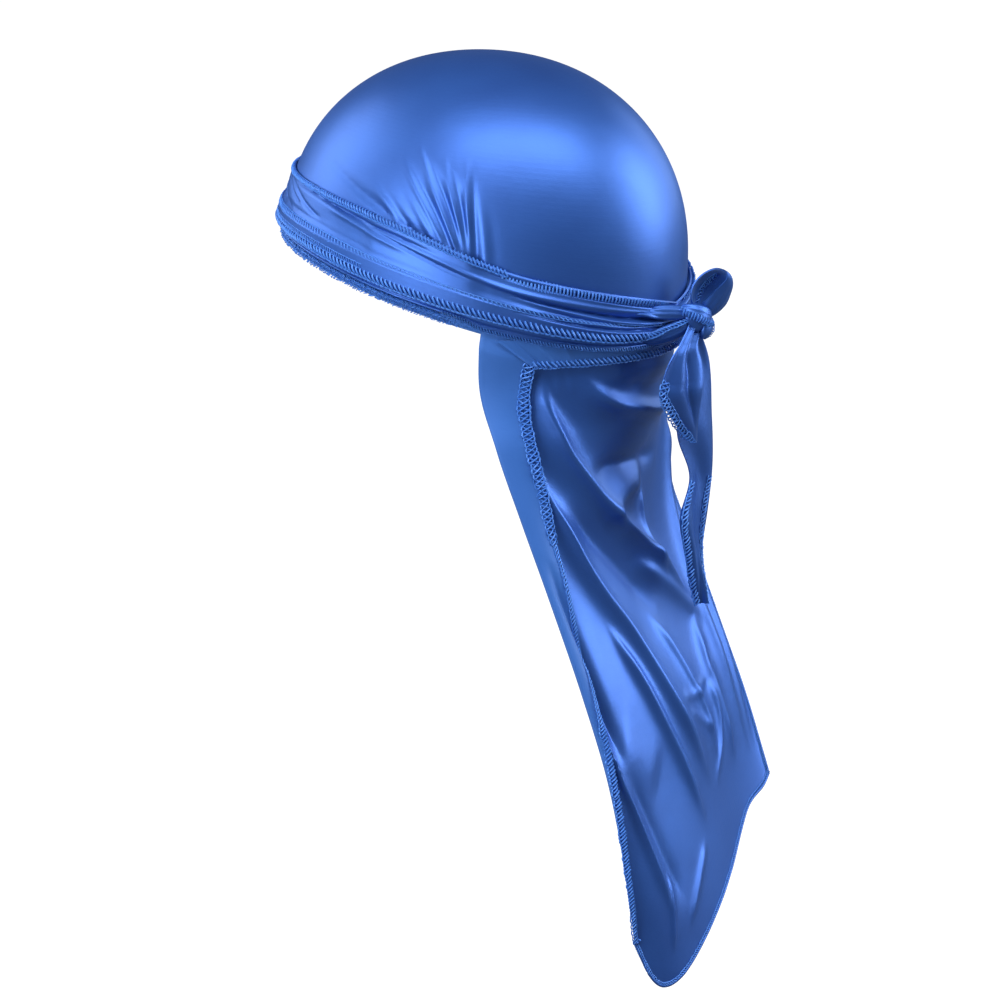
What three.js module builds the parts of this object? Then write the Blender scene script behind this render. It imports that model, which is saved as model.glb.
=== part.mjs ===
// A satin durag, as it sits on a head with its ties wrapped round and knotted at the back.
// Millimetres, +Z up. The wearer faces -Y and the wearer's left is +X.
// The origin is the middle of the head, on the widest ring of the crown.
import * as THREE from 'three';

// Head form: the outer face of the crown
const headHalfWidth = 79;
const headHalfLength = 99;
const crownRise = 92;
const formFall = 118;
const formPower = 2.14;

// Cloth and the gaps between its layers
const cloth = 1.0;
const clearance = 0.35;
const gatheredCloth = 1.2;
const pleatRise = 0.5;
const wrapStep = 4;

// Front hem
const hemHeight = 4.2;
const hemThickness = 2.0;
const hemEnd = 105;
const hemBlend = 8;

// Nape wrap and where it starts behind each ear
const napeStart = 128;
const napeHeight = 13;
const napeBlend = 12;

// Fan of small pleats on each side of the crown, above the wraps
const fanMiddle = 95;
const fanSpread = 19;
const fanCount = 5;
const fanRise = 1.1;
const fanReach = 42;
const fanStart = 5;
const fanLean = 0.12;

// Cape
const capeLength = 300;
const capeHalfAngle = 70;
const capeSettle = 30;
const turnGap = 1.5;
const foldRise = 7;
const foldWidth = 0.06;

// Knot, loop and tie ends
const knotWidth = 20;
const knotDepth = 13;
const knotHeight = 21;
const knotDrop = 24;
const knotTwist = 1.6;
const loopLength = 21;
const loopHeight = 14;
const loopWidth = 16;
const loopTurn = 42;
const loopLean = 62;
const loopPinch = 0.28;
const loopGather = 0.45;
const tieWidth = 32;
const tieBow = 1.5;
const tieApart = 4;
const shortEnd = 48;
const longEnd = 130;

// Levels of the wraps round the head, from the forehead (turn 0) to the nape (turn 1), as shares of the crown's rise
const wrapLevels = [
  { turn: 0.00, top: 0.415, second: 0.232, third: 0.141, rim: 0.076 },
  { turn: 0.17, top: 0.395, second: 0.208, third: 0.120, rim: 0.065 },
  { turn: 0.33, top: 0.350, second: 0.152, third: 0.054, rim: -0.016 },
  { turn: 0.50, top: 0.239, second: 0.022, third: -0.087, rim: -0.152 },
  { turn: 0.67, top: 0.033, second: -0.141, third: -0.223, rim: -0.293 },
  { turn: 0.83, top: -0.087, second: -0.250, third: -0.322, rim: -0.375 },
  { turn: 1.00, top: -0.190, second: -0.270, third: -0.330, rim: -0.391 },
];
const napeLevel = -0.445;

// Hanging form of the cape down its length: drop as a share of the cape, half width as a share of the head's half
// width, and how far back its left edge, right edge and middle lie, as shares of the head's half length
const capeHang = [
  { drop: 0.00, spread: 0.915, left: 0.335, right: 0.335, middle: 0.950 },
  { drop: 0.06, spread: 0.905, left: 0.345, right: 0.345, middle: 0.920 },
  { drop: 0.12, spread: 0.895, left: 0.375, right: 0.380, middle: 0.880 },
  { drop: 0.22, spread: 0.885, left: 0.455, right: 0.480, middle: 0.850 },
  { drop: 0.32, spread: 0.885, left: 0.575, right: 0.610, middle: 0.840 },
  { drop: 0.44, spread: 0.885, left: 0.735, right: 0.765, middle: 0.910 },
  { drop: 0.58, spread: 0.885, left: 0.905, right: 0.935, middle: 1.050 },
  { drop: 0.72, spread: 0.880, left: 1.035, right: 1.105, middle: 1.165 },
  { drop: 0.88, spread: 0.840, left: 1.110, right: 1.270, middle: 1.290 },
  { drop: 1.00, spread: 0.790, left: 1.140, right: 1.340, middle: 1.360 },
];

// Lower hem of the cape, from its left edge (across 0) to its right edge (across 1), as a share of the cape's length
const capeHem = [
  { across: 0.00, reach: 0.925 },
  { across: 0.05, reach: 0.975 },
  { across: 0.12, reach: 1.000 },
  { across: 0.22, reach: 0.985 },
  { across: 0.38, reach: 0.935 },
  { across: 0.55, reach: 0.875 },
  { across: 0.75, reach: 0.805 },
  { across: 0.92, reach: 0.790 },
  { across: 1.00, reach: 0.780 },
];

// Width of the turned-back left edge down the cape, as a share of the sheet's width
const capeTurn = [
  { drop: 0.00, share: 0.125 },
  { drop: 0.15, share: 0.112 },
  { drop: 0.30, share: 0.120 },
  { drop: 0.40, share: 0.120 },
  { drop: 0.52, share: 0.090 },
  { drop: 0.64, share: 0.055 },
  { drop: 0.76, share: 0.030 },
  { drop: 1.00, share: 0.016 },
];

// Folds of the cape: each runs down the sheet from start to end, across at from, through and to, with its height as a
// share of the fold rise and its width as a share of the fold width
const capeFolds = [
  { start: 0.05, end: 0.56, from: 0.14, through: 0.40, to: 0.72, height: 0.90, width: 0.80 },
  { start: 0.02, end: 0.18, from: 0.20, through: 0.34, to: 0.62, height: 0.60, width: 0.75 },
  { start: 0.20, end: 0.80, from: 0.11, through: 0.39, to: 0.56, height: 1.00, width: 1.00 },
  { start: 0.50, end: 0.92, from: 0.34, through: 0.42, to: 0.56, height: 0.70, width: 0.75 },
  { start: 0.64, end: 0.92, from: 0.11, through: 0.20, to: 0.27, height: 0.60, width: 0.75 },
  { start: 0.55, end: 0.98, from: 0.80, through: 0.76, to: 0.74, height: 0.80, width: 1.00 },
];

// Short tie end: drop as a share of its length, side shift and width as shares of the tie's width, turn in degrees
const shortTie = [
  { drop: 0.00, shift: 0.18, width: 0.30, turn: 0 },
  { drop: 0.18, shift: 0.36, width: 0.54, turn: -3 },
  { drop: 0.34, shift: 0.52, width: 0.80, turn: -6 },
  { drop: 0.56, shift: 0.38, width: 0.60, turn: -6 },
  { drop: 0.78, shift: 0.20, width: 0.36, turn: -4 },
  { drop: 1.00, shift: 0.08, width: 0.12, turn: 0 },
];

// Long tie end, in the same columns
const longTie = [
  { drop: 0.00, shift: -0.08, width: 0.30, turn: 0 },
  { drop: 0.12, shift: -0.14, width: 0.50, turn: -4 },
  { drop: 0.32, shift: 0.00, width: 0.90, turn: -8 },
  { drop: 0.50, shift: -0.06, width: 0.66, turn: -10 },
  { drop: 0.64, shift: 0.04, width: 0.66, turn: -12 },
  { drop: 0.80, shift: -0.08, width: 0.44, turn: -16 },
  { drop: 1.00, shift: -0.34, width: 0.20, turn: -20 },
];

const leastArea = 1e-7;
const radians = THREE.MathUtils.degToRad;
const mix = THREE.MathUtils.lerp;
const ease = THREE.MathUtils.smoothstep;

// A smooth curve through one column of a table, read at one place of its first column
function tableValue(rows, place, column, at) {
  let last = 1;
  while (last < rows.length - 1 && rows[last][place] < at) last += 1;
  const slope = (from, to) => (rows[to][column] - rows[from][column]) / (rows[to][place] - rows[from][place]);
  const span = rows[last][place] - rows[last - 1][place];
  const t = THREE.MathUtils.clamp((at - rows[last - 1][place]) / span, 0, 1);
  const slopeIn = slope(Math.max(last - 2, 0), last);
  const slopeOut = slope(last - 1, Math.min(last + 1, rows.length - 1));
  const rise = t * t * (3 - 2 * t);
  const value = mix(rows[last - 1][column], rows[last][column], rise);
  return value + span * (slopeIn * t * (1 - t) * (1 - t) - slopeOut * t * t * (1 - t));
}

// Share of the form's widest section that is left at one level
function formShare(z, offset) {
  const half = (z > 0 ? crownRise : formFall) + offset;
  const left = 1 - Math.abs(z / half) ** formPower;
  return Math.max(left, 0) ** (1 / formPower);
}

// A point on the head form: the azimuth runs from the forehead over the wearer's left
function formPoint(azimuth, z, offset) {
  const share = formShare(z, offset);
  const angle = radians(azimuth);
  const x = (headHalfWidth + offset) * share * Math.sin(angle);
  const y = -(headHalfLength + offset) * share * Math.cos(angle);
  return new THREE.Vector3(x, y, z);
}

// Level of one line of the wraps at an azimuth, the same on both sides
function wrapLevel(line, azimuth) {
  const turn = Math.abs(azimuth) / 180;
  return crownRise * tableValue(wrapLevels, 'turn', line, turn);
}

// Lower edge of the crown: it meets the front hem, and behind the ears the cape
function crownEdge(azimuth) {
  const atHem = wrapLevel('rim', azimuth) + hemHeight / 2 + clearance;
  const atCape = wrapLevel('third', azimuth) + clearance;
  return mix(atHem, atCape, ease(Math.abs(azimuth), hemEnd, hemEnd + hemBlend / 2));
}

// Turns a closed skin of triangles into a geometry with its faces outward
function solidGeometry(triangles) {
  const whole = triangles.filter(([a, b, c]) => {
    const area = b.clone().sub(a).cross(c.clone().sub(a)).length();
    return area > leastArea;
  });
  let volume = 0;
  for (const [a, b, c] of whole) volume += a.dot(b.clone().cross(c));
  const places = [];
  for (const [a, b, c] of whole) {
    const ordered = volume > 0 ? [a, b, c] : [a, c, b];
    for (const corner of ordered) places.push(corner.x, corner.y, corner.z);
  }
  const geometry = new THREE.BufferGeometry();
  geometry.setAttribute('position', new THREE.Float32BufferAttribute(places, 3));
  geometry.computeVertexNormals();
  return geometry;
}

// Two triangles for one patch
function patch(a, b, c, d) {
  return [[a, b, c], [a, c, d]];
}

// A wall between an outer and an inner grid of points, closed round when its columns run right round
function wallGeometry(outer, inner, closed) {
  const triangles = [];
  const columns = outer.length;
  const rows = outer[0].length;
  const steps = closed ? columns : columns - 1;
  for (let i = 0; i < steps; i += 1) {
    const next = (i + 1) % columns;
    for (let j = 0; j < rows - 1; j += 1) {
      triangles.push(...patch(outer[i][j], outer[next][j], outer[next][j + 1], outer[i][j + 1]));
      triangles.push(...patch(inner[i][j], inner[i][j + 1], inner[next][j + 1], inner[next][j]));
    }
    triangles.push(...patch(outer[i][0], inner[i][0], inner[next][0], outer[next][0]));
    const end = rows - 1;
    triangles.push(...patch(outer[i][end], outer[next][end], inner[next][end], inner[i][end]));
  }
  if (!closed) {
    const end = columns - 1;
    for (let j = 0; j < rows - 1; j += 1) {
      triangles.push(...patch(outer[0][j], outer[0][j + 1], inner[0][j + 1], inner[0][j]));
      triangles.push(...patch(outer[end][j], inner[end][j], inner[end][j + 1], outer[end][j + 1]));
    }
  }
  return solidGeometry(triangles);
}

// Share of the pleats' full height at a place round the head: 1 in the middle of the fan
function fanShare(azimuth) {
  return ease(1 - Math.abs(Math.abs(azimuth) - fanMiddle) / fanSpread, 0, 0.3);
}

// Small pleats that fan up the crown from under the wraps, as a height over the plain form
function fanHeight(azimuth, z) {
  const above = z - wrapLevel('top', azimuth);
  const place = Math.abs(azimuth) + fanLean * above;
  const fade = ease(above, 0, fanStart) * (1 - ease(above, 0, fanReach));
  const ridge = Math.cos(((place - fanMiddle) / fanSpread) * fanCount * Math.PI) ** 2;
  return fanRise * fanShare(place) * fade * ridge;
}

// Azimuths round the whole head, closer together where the pleats fan up
function crownAzimuths() {
  const side = [0, 10, 20, 30, 40, 50, 60, 68, 76];
  const fanStep = fanSpread / (fanCount * 2);
  for (let i = 0; i <= fanCount * 4; i += 1) side.push(fanMiddle - fanSpread + i * fanStep);
  for (const back of [122, 131, 140, 150, 160, 170]) side.push(back);
  const sorted = [...new Set(side)].sort((a, b) => a - b);
  const mirrored = sorted.filter((azimuth) => azimuth > 0).map((azimuth) => 360 - azimuth);
  return [...sorted, 180, ...mirrored.reverse()];
}

function signedAzimuth(azimuth) {
  return azimuth > 180 ? azimuth - 360 : azimuth;
}

function crownGeometry() {
  const rows = 10;
  const outer = [];
  const inner = [];
  for (const turn of crownAzimuths()) {
    const azimuth = signedAzimuth(turn);
    const edge = crownEdge(azimuth);
    const half = edge > 0 ? crownRise : formFall;
    const edgeAngle = Math.acos(Math.sign(edge) * Math.abs(edge / half) ** (formPower / 2));
    const outerColumn = [];
    const innerColumn = [];
    for (let j = 0; j <= rows; j += 1) {
      const angle = edgeAngle * (1 - (1 - j / rows) ** 1.1);
      const level = Math.sign(Math.cos(angle)) * Math.abs(Math.cos(angle)) ** (2 / formPower);
      const z = level * (level > 0 ? crownRise : formFall);
      const rise = fanHeight(azimuth, z);
      const innerZ = level * ((level > 0 ? crownRise : formFall) - cloth);
      outerColumn.push(j === 0 ? new THREE.Vector3(0, 0, crownRise) : formPoint(azimuth, z, rise));
      innerColumn.push(j === 0 ? new THREE.Vector3(0, 0, crownRise - cloth) : formPoint(azimuth, innerZ, rise - cloth));
    }
    outer.push(outerColumn);
    inner.push(innerColumn);
  }
  return wallGeometry(outer, inner, true);
}

// How far the layers under a wrap stand off the crown: the nape wrap lies under the others behind the ears
function backing(azimuth) {
  return (cloth + clearance) * ease(Math.abs(azimuth), napeStart - napeBlend, napeStart);
}

// Outer face of the lower wrap, off the head form
function lowerWrapFace(azimuth) {
  return clearance + backing(azimuth) + gatheredCloth;
}

// A gathered band round the head: level 0 is its lower edge and level 1 its upper edge
function bandGeometry(azimuths, closed, edges, face, thickness, levels) {
  const outer = [];
  const inner = [];
  for (const turn of azimuths) {
    const azimuth = signedAzimuth(turn);
    const { low, high } = edges(azimuth);
    const outerColumn = [];
    const innerColumn = [];
    for (const level of levels) {
      const z = mix(low, high, level);
      const base = face(azimuth, z);
      outerColumn.push(formPoint(azimuth, z, base + thickness(azimuth, level)));
      innerColumn.push(formPoint(azimuth, z, base));
    }
    outer.push(outerColumn);
    inner.push(innerColumn);
  }
  return wallGeometry(outer, inner, closed);
}

function evenAzimuths(start, end, count) {
  return Array.from({ length: count }, (_, i) => mix(start, end, i / (count - 1)));
}

const ringAzimuths = evenAzimuths(0, 352, 45);

// Thickness of gathered cloth: thin at its edges, with lengthwise pleats between
function gatheredThickness(level, pleats) {
  const middle = ease(Math.sin(Math.PI * level), 0, 0.6);
  const ridge = Math.abs(Math.sin(Math.PI * pleats * level));
  return mix(cloth, gatheredCloth, middle) + pleatRise * ridge * middle;
}

// How far the lower wrap stays above the rim line, to leave the front hem showing
function hemCover(azimuth) {
  return (hemHeight / 2 + clearance) * (1 - ease(Math.abs(azimuth), hemEnd, hemEnd + hemBlend));
}

// The lower wrap has one pleat along the part that shows, and lies flat under the upper wrap
function lowerWrapGeometry() {
  const outer = [];
  const inner = [];
  for (const turn of ringAzimuths) {
    const azimuth = signedAzimuth(turn);
    const low = wrapLevel('rim', azimuth) + hemCover(azimuth);
    const covered = wrapLevel('third', azimuth) - clearance;
    const base = clearance + backing(azimuth);
    const column = [0, 0.3, 0.65, 1].map((level) => ({
      z: mix(low, covered, level),
      thickness: gatheredThickness(level, 1) - clearance * level,
    }));
    column.push({ z: wrapLevel('second', azimuth), thickness: gatheredCloth - clearance });
    outer.push(column.map(({ z, thickness }) => formPoint(azimuth, z, base + thickness)));
    inner.push(column.map(({ z }) => formPoint(azimuth, z, base)));
  }
  return wallGeometry(outer, inner, true);
}

// The upper wrap lies over the lower one and steps down on to the crown above it
function upperWrapGeometry() {
  const edges = (azimuth) => ({
    low: wrapLevel('third', azimuth),
    high: wrapLevel('top', azimuth),
  });
  const face = (azimuth, z) => {
    const above = z - wrapLevel('second', azimuth);
    const under = 1 - ease(above, clearance, clearance + wrapStep);
    const overPleats = fanRise * fanShare(azimuth);
    return mix(clearance + backing(azimuth) / 2 + overPleats, lowerWrapFace(azimuth) + clearance, under);
  };
  const thickness = (azimuth, level) => gatheredThickness(level, 3);
  return bandGeometry(ringAzimuths, true, edges, face, thickness, [0, 0.17, 0.33, 0.5, 0.67, 0.83, 1]);
}

function napeWrapGeometry() {
  const edges = () => ({
    low: crownRise * napeLevel,
    high: crownRise * napeLevel + napeHeight,
  });
  const face = () => clearance;
  const thickness = () => cloth;
  const azimuths = evenAzimuths(napeStart, 360 - napeStart, 21);
  return bandGeometry(azimuths, false, edges, face, thickness, [0, 0.5, 1]);
}

function frontHemGeometry() {
  const edges = (azimuth) => ({
    low: wrapLevel('rim', azimuth) - hemHeight / 2,
    high: wrapLevel('rim', azimuth) + hemHeight / 2,
  });
  const face = () => -hemThickness / 2;
  const thickness = (azimuth, level) => mix(cloth, hemThickness, Math.sin(Math.PI * level));
  const azimuths = evenAzimuths(-hemEnd, hemEnd, 31);
  return bandGeometry(azimuths, false, edges, face, thickness, [0, 0.33, 0.67, 1]);
}

// Level of the cape's top edge, under the wraps and against the crown
function capeTop(azimuth) {
  return crownEdge(azimuth) - clearance;
}

// The plain hanging form of the cape: across runs from its left side (0) to its right side (1)
function capeBase(across, drop) {
  const azimuth = 180 - capeHalfAngle * (1 - 2 * across);
  const turn = radians(capeHalfAngle * (1 - 2 * across));
  const reach = tableValue(capeHem, 'across', 'reach', across);
  const top = capeTop(azimuth > 180 ? 360 - azimuth : azimuth);
  const lowest = wrapLevel('third', 180) - capeLength;
  const z = mix(top, mix(top, lowest, reach), drop);
  const seat = formPoint(azimuth, Math.max(z, crownRise * napeLevel - capeSettle), -cloth / 2);
  const level = THREE.MathUtils.clamp((top - z) / capeLength, 0, 1);
  const spread = headHalfWidth * tableValue(capeHang, 'drop', 'spread', level);
  const left = tableValue(capeHang, 'drop', 'left', level);
  const right = tableValue(capeHang, 'drop', 'right', level);
  const edge = headHalfLength * mix(left, right, across);
  const middle = headHalfLength * tableValue(capeHang, 'drop', 'middle', level);
  const side = Math.cos(radians(capeHalfAngle));
  const x = spread * Math.sin(turn) / Math.sin(radians(capeHalfAngle));
  const y = mix(edge, middle, (Math.cos(turn) - side) / (1 - side));
  const loose = ease(crownRise * napeLevel - z, 0, capeSettle);
  return new THREE.Vector3(mix(seat.x, x, loose), mix(seat.y, y, loose), z);
}

// Height of the folds at one place of the cape, over its plain form
function foldHeight(across, drop) {
  let height = 0;
  for (const fold of capeFolds) {
    const t = (drop - fold.start) / (fold.end - fold.start);
    const slant = ((fold.to - fold.from) * 2 * headHalfWidth) / ((fold.end - fold.start) * capeLength);
    const bend = 4 * fold.through - 2 * fold.from - 2 * fold.to;
    const middle = mix(fold.from, fold.to, t) + bend * t * (1 - t);
    const aside = (across - middle) / Math.hypot(1, slant) / (foldWidth * fold.width);
    const fade = ease(t, -0.08, 0.22) * (1 - ease(t, 0.75, 1.1));
    height += foldRise * fold.height * fade * Math.exp(-aside * aside);
  }
  return height;
}

// Outward direction of the plain cape
function capeNormal(across, drop) {
  const step = 0.004;
  const here = capeBase(across, drop);
  const sideways = capeBase(across + step, drop).sub(here);
  const down = capeBase(across, drop + step).sub(here);
  return down.cross(sideways).normalize();
}

function capePoint(across, drop, lift) {
  const point = capeBase(across, drop);
  const rise = foldHeight(across, drop) * ease(crownRise * napeLevel - point.z, 0, capeSettle);
  return point.addScaledVector(capeNormal(across, drop), rise + lift);
}

// One row of the cape from its turned-back edge, round the outward fold, to its right edge
function capeColumns() {
  const turned = [1, 0.8, 0.55, 0.3, 0.1];
  const columns = turned.map((share) => ({ turned: share, bend: 1 }));
  for (const bend of [0.75, 0.5, 0.25]) columns.push({ turned: 0, bend });
  const body = 30;
  for (let i = 0; i <= body; i += 1) columns.push({ across: (i / body) ** 1.1, bend: 0 });
  return columns;
}

// Drop at which the turned-back edge starts, just under the lower wrap
function turnStart() {
  const azimuth = 180 - capeHalfAngle;
  const covered = capeTop(azimuth) - wrapLevel('rim', azimuth) + 2 * clearance;
  return covered / (capeLength * tableValue(capeHem, 'across', 'reach', 0));
}

// Middle of the sheet at one column and drop, with the direction that its outer face takes there
function capeSheet(column, drop) {
  if (column.bend === 0) {
    return {
      middle: capePoint(column.across, drop, 0),
      outward: capeNormal(column.across, drop),
    };
  }
  const lower = mix(turnStart(), 1, drop);
  if (column.bend === 1) {
    const across = column.turned * tableValue(capeTurn, 'drop', 'share', lower);
    return {
      middle: capePoint(across, lower, 2 * turnGap),
      outward: capeNormal(across, lower).negate(),
    };
  }
  const normal = capeNormal(0, lower);
  const edge = capePoint(0, lower, 0);
  const forward = edge.clone().sub(capePoint(0.02, lower, 0)).normalize();
  const angle = Math.PI * column.bend;
  const middle = edge.addScaledVector(normal, turnGap * (1 - Math.cos(angle)));
  middle.addScaledVector(forward, turnGap * Math.sin(angle));
  const outward = normal.clone().multiplyScalar(Math.cos(angle)).addScaledVector(forward, -Math.sin(angle));
  return { middle, outward };
}

function capeGeometry() {
  const rows = 27;
  const outer = [];
  const inner = [];
  for (const column of capeColumns()) {
    const outerColumn = [];
    const innerColumn = [];
    for (let j = 0; j <= rows; j += 1) {
      const { middle, outward } = capeSheet(column, (j / rows) ** 1.1);
      outerColumn.push(middle.clone().addScaledVector(outward, cloth / 2));
      innerColumn.push(middle.clone().addScaledVector(outward, -cloth / 2));
    }
    outer.push(outerColumn);
    inner.push(innerColumn);
  }
  return wallGeometry(outer, inner, false);
}

// The knot sits against the outer wrap at the back of the head
const wrapFace = lowerWrapFace(180) + clearance + gatheredCloth + pleatRise;
const knotCentre = formPoint(180, -knotDrop, wrapFace + clearance + knotDepth / 2 - knotTwist / 2);

function knotGeometry() {
  const around = 18;
  const rows = 12;
  const ring = [];
  for (let i = 0; i < around; i += 1) {
    const turn = (i / around) * 2 * Math.PI;
    const column = [];
    for (let j = 0; j <= rows; j += 1) {
      const tilt = (j / rows) * Math.PI;
      const groove = Math.sin(tilt) * knotTwist * (Math.cos(turn + 2.5 * tilt) ** 2 - 1);
      const x = (knotWidth / 2 + groove) * Math.sin(tilt) * Math.sin(turn);
      const y = (knotDepth / 2 + groove) * Math.sin(tilt) * -Math.cos(turn);
      column.push(new THREE.Vector3(x, y, (knotHeight / 2) * Math.cos(tilt)).add(knotCentre));
    }
    ring.push(column);
  }
  const triangles = [];
  for (let i = 0; i < around; i += 1) {
    const next = (i + 1) % around;
    for (let j = 0; j < rows; j += 1) {
      triangles.push(...patch(ring[i][j], ring[next][j], ring[next][j + 1], ring[i][j + 1]));
    }
  }
  return solidGeometry(triangles);
}

// The loop stands up and back out of the knot, in a plane turned from straight back
function bowLoopGeometry() {
  const away = new THREE.Vector3(-Math.sin(radians(loopTurn)), Math.cos(radians(loopTurn)), 0);
  const along = away.clone().multiplyScalar(Math.cos(radians(loopLean)));
  along.z = Math.sin(radians(loopLean));
  const across = away.clone().multiplyScalar(-Math.sin(radians(loopLean)));
  across.z = Math.cos(radians(loopLean));
  const sideways = across.clone().cross(along).normalize();
  const girth = 1 / Math.hypot(
    Math.cos(radians(loopTurn)) / (knotDepth / 2),
    Math.sin(radians(loopTurn)) / (knotWidth / 2),
  );
  const seat = 1 / Math.hypot(
    Math.cos(radians(loopLean)) / girth,
    Math.sin(radians(loopLean)) / (knotHeight / 2),
  );
  const steps = 22;
  const outer = [];
  const inner = [];
  const place = (turn, lift) => {
    const reach = loopLength / 2 + lift;
    const half = (loopHeight / 2) * (1 - loopPinch - loopPinch * Math.cos(turn)) + lift;
    const start = seat + clearance + cloth / 2 + loopLength / 2;
    return knotCentre.clone()
      .addScaledVector(along, start - reach * Math.cos(turn))
      .addScaledVector(across, half * Math.sin(turn));
  };
  for (let i = 0; i < steps; i += 1) {
    const turn = (i / steps) * 2 * Math.PI;
    const spread = mix(loopGather, 1, (1 - Math.cos(turn)) / 2) * loopWidth;
    const outerColumn = [];
    const innerColumn = [];
    for (const share of [-0.5, -0.2, 0.2, 0.5]) {
      outerColumn.push(place(turn, cloth / 2).addScaledVector(sideways, share * spread));
      innerColumn.push(place(turn, -cloth / 2).addScaledVector(sideways, share * spread));
    }
    outer.push(outerColumn);
    inner.push(innerColumn);
  }
  return wallGeometry(outer, inner, true);
}

// A free end of a tie: a strip of cloth that hangs from under the knot, a little bowed across its width
function tieEndGeometry(rows, length, back) {
  const outer = [];
  const inner = [];
  const top = knotCentre.z - knotHeight / 2 - clearance;
  const steps = Math.round(length / 9);
  for (const side of [-1, -0.5, 0, 0.5, 1]) {
    const outerColumn = [];
    const innerColumn = [];
    for (let j = 0; j <= steps; j += 1) {
      const drop = j / steps;
      const half = (tieWidth / 2) * tableValue(rows, 'drop', 'width', drop);
      const turn = radians(tableValue(rows, 'drop', 'turn', drop));
      const middle = new THREE.Vector3(tieWidth * tableValue(rows, 'drop', 'shift', drop), back, top - length * drop);
      const across = new THREE.Vector3(Math.cos(turn), Math.sin(turn), 0);
      const outward = new THREE.Vector3(-Math.sin(turn), Math.cos(turn), 0);
      const bow = tieBow * (1 - side * side) * Math.min(1, 3 * drop);
      middle.addScaledVector(across, side * half).addScaledVector(outward, bow);
      outerColumn.push(middle.clone().addScaledVector(outward, cloth / 2));
      innerColumn.push(middle.clone().addScaledVector(outward, -cloth / 2));
    }
    outer.push(outerColumn);
    inner.push(innerColumn);
  }
  return wallGeometry(outer, inner, false);
}

const satin = { color: 0x2f5fbd, roughness: 0.38, metalness: 0 };
const dullSatin = { color: 0x4773c4, roughness: 0.6, metalness: 0 };
const overlock = { color: 0x2a55ad, roughness: 0.8, metalness: 0 };

function piece(name, geometry, finish) {
  const mesh = new THREE.Mesh(geometry, new THREE.MeshStandardMaterial(finish));
  mesh.name = name;
  return mesh;
}

const durag = new THREE.Group();
durag.name = 'durag';
durag.add(piece('crown', crownGeometry(), satin));
durag.add(piece('front_hem', frontHemGeometry(), overlock));
durag.add(piece('lower_wrap', lowerWrapGeometry(), satin));
durag.add(piece('upper_wrap', upperWrapGeometry(), satin));
durag.add(piece('nape_wrap', napeWrapGeometry(), dullSatin));
durag.add(piece('cape', capeGeometry(), satin));
durag.add(piece('knot', knotGeometry(), satin));
durag.add(piece('bow_loop', bowLoopGeometry(), satin));
durag.add(piece('tie_end_short', tieEndGeometry(shortTie, shortEnd, knotCentre.y - tieApart / 2), satin));
durag.add(piece('tie_end_long', tieEndGeometry(longTie, longEnd, knotCentre.y + tieApart / 2), satin));

export default durag;
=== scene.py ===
import math

import bpy
import numpy as np
from mathutils import Matrix, Vector


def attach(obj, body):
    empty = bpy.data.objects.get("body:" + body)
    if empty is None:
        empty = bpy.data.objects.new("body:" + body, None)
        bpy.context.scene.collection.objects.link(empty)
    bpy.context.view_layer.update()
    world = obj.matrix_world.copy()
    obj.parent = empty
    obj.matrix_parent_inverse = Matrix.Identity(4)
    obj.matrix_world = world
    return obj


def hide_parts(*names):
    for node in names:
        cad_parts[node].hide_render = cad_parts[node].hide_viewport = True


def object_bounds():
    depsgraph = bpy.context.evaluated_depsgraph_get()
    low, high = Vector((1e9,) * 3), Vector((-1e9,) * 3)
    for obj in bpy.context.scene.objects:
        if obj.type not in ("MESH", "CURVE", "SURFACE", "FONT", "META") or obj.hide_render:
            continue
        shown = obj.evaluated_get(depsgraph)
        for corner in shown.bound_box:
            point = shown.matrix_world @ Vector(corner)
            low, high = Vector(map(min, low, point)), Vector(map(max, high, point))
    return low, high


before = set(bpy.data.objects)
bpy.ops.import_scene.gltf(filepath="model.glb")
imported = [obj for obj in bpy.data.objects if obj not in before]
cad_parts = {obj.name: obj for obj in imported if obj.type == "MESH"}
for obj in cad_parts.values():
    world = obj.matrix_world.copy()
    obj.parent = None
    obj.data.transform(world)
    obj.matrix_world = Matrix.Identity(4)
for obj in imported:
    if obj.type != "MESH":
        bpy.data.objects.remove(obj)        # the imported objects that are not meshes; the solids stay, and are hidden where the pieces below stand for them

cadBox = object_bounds()
mm = 0.001        # lengths below are millimetres and turn into metres when a mesh is made


# Small maths
def ease(value, start, end):
    t = np.clip((value - start) / (end - start), 0, 1)
    return t * t * (3 - 2 * t)


def mixed(first, second, share):
    return first + (second - first) * share


def along(table, place, column, at):
    # a smooth curve through one column of a table
    places, values = np.array(table[place], float), np.array(table[column], float)
    slopes = np.empty_like(values)
    slopes[1:-1] = (values[2:] - values[:-2]) / (places[2:] - places[:-2])
    slopes[0] = (values[1] - values[0]) / (places[1] - places[0])
    slopes[-1] = (values[-1] - values[-2]) / (places[-1] - places[-2])
    k = np.clip(np.searchsorted(places, at, side="right") - 1, 0, len(places) - 2)
    span = places[k + 1] - places[k]
    t = np.clip((at - places[k]) / span, 0, 1)
    curve = mixed(values[k], values[k + 1], t * t * (3 - 2 * t))
    return curve + span * (slopes[k] * t * (1 - t) ** 2 - slopes[k + 1] * t * t * (1 - t))


def unit(vectors):
    return vectors / np.maximum(np.linalg.norm(vectors, axis=-1, keepdims=True), 1e-9)


def ripple(a, b, seed, count=7):
    # calm irregular waves over two coordinates, from -1 to 1
    rng = np.random.default_rng(seed)
    total = 0
    for _ in range(count):
        turn, size, start = rng.uniform(0, 2 * math.pi), rng.uniform(0.5, 1.6), rng.uniform(0, 2 * math.pi)
        total = total + np.sin((a * math.cos(turn) + b * math.sin(turn)) * size + start)
    return total / count


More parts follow.
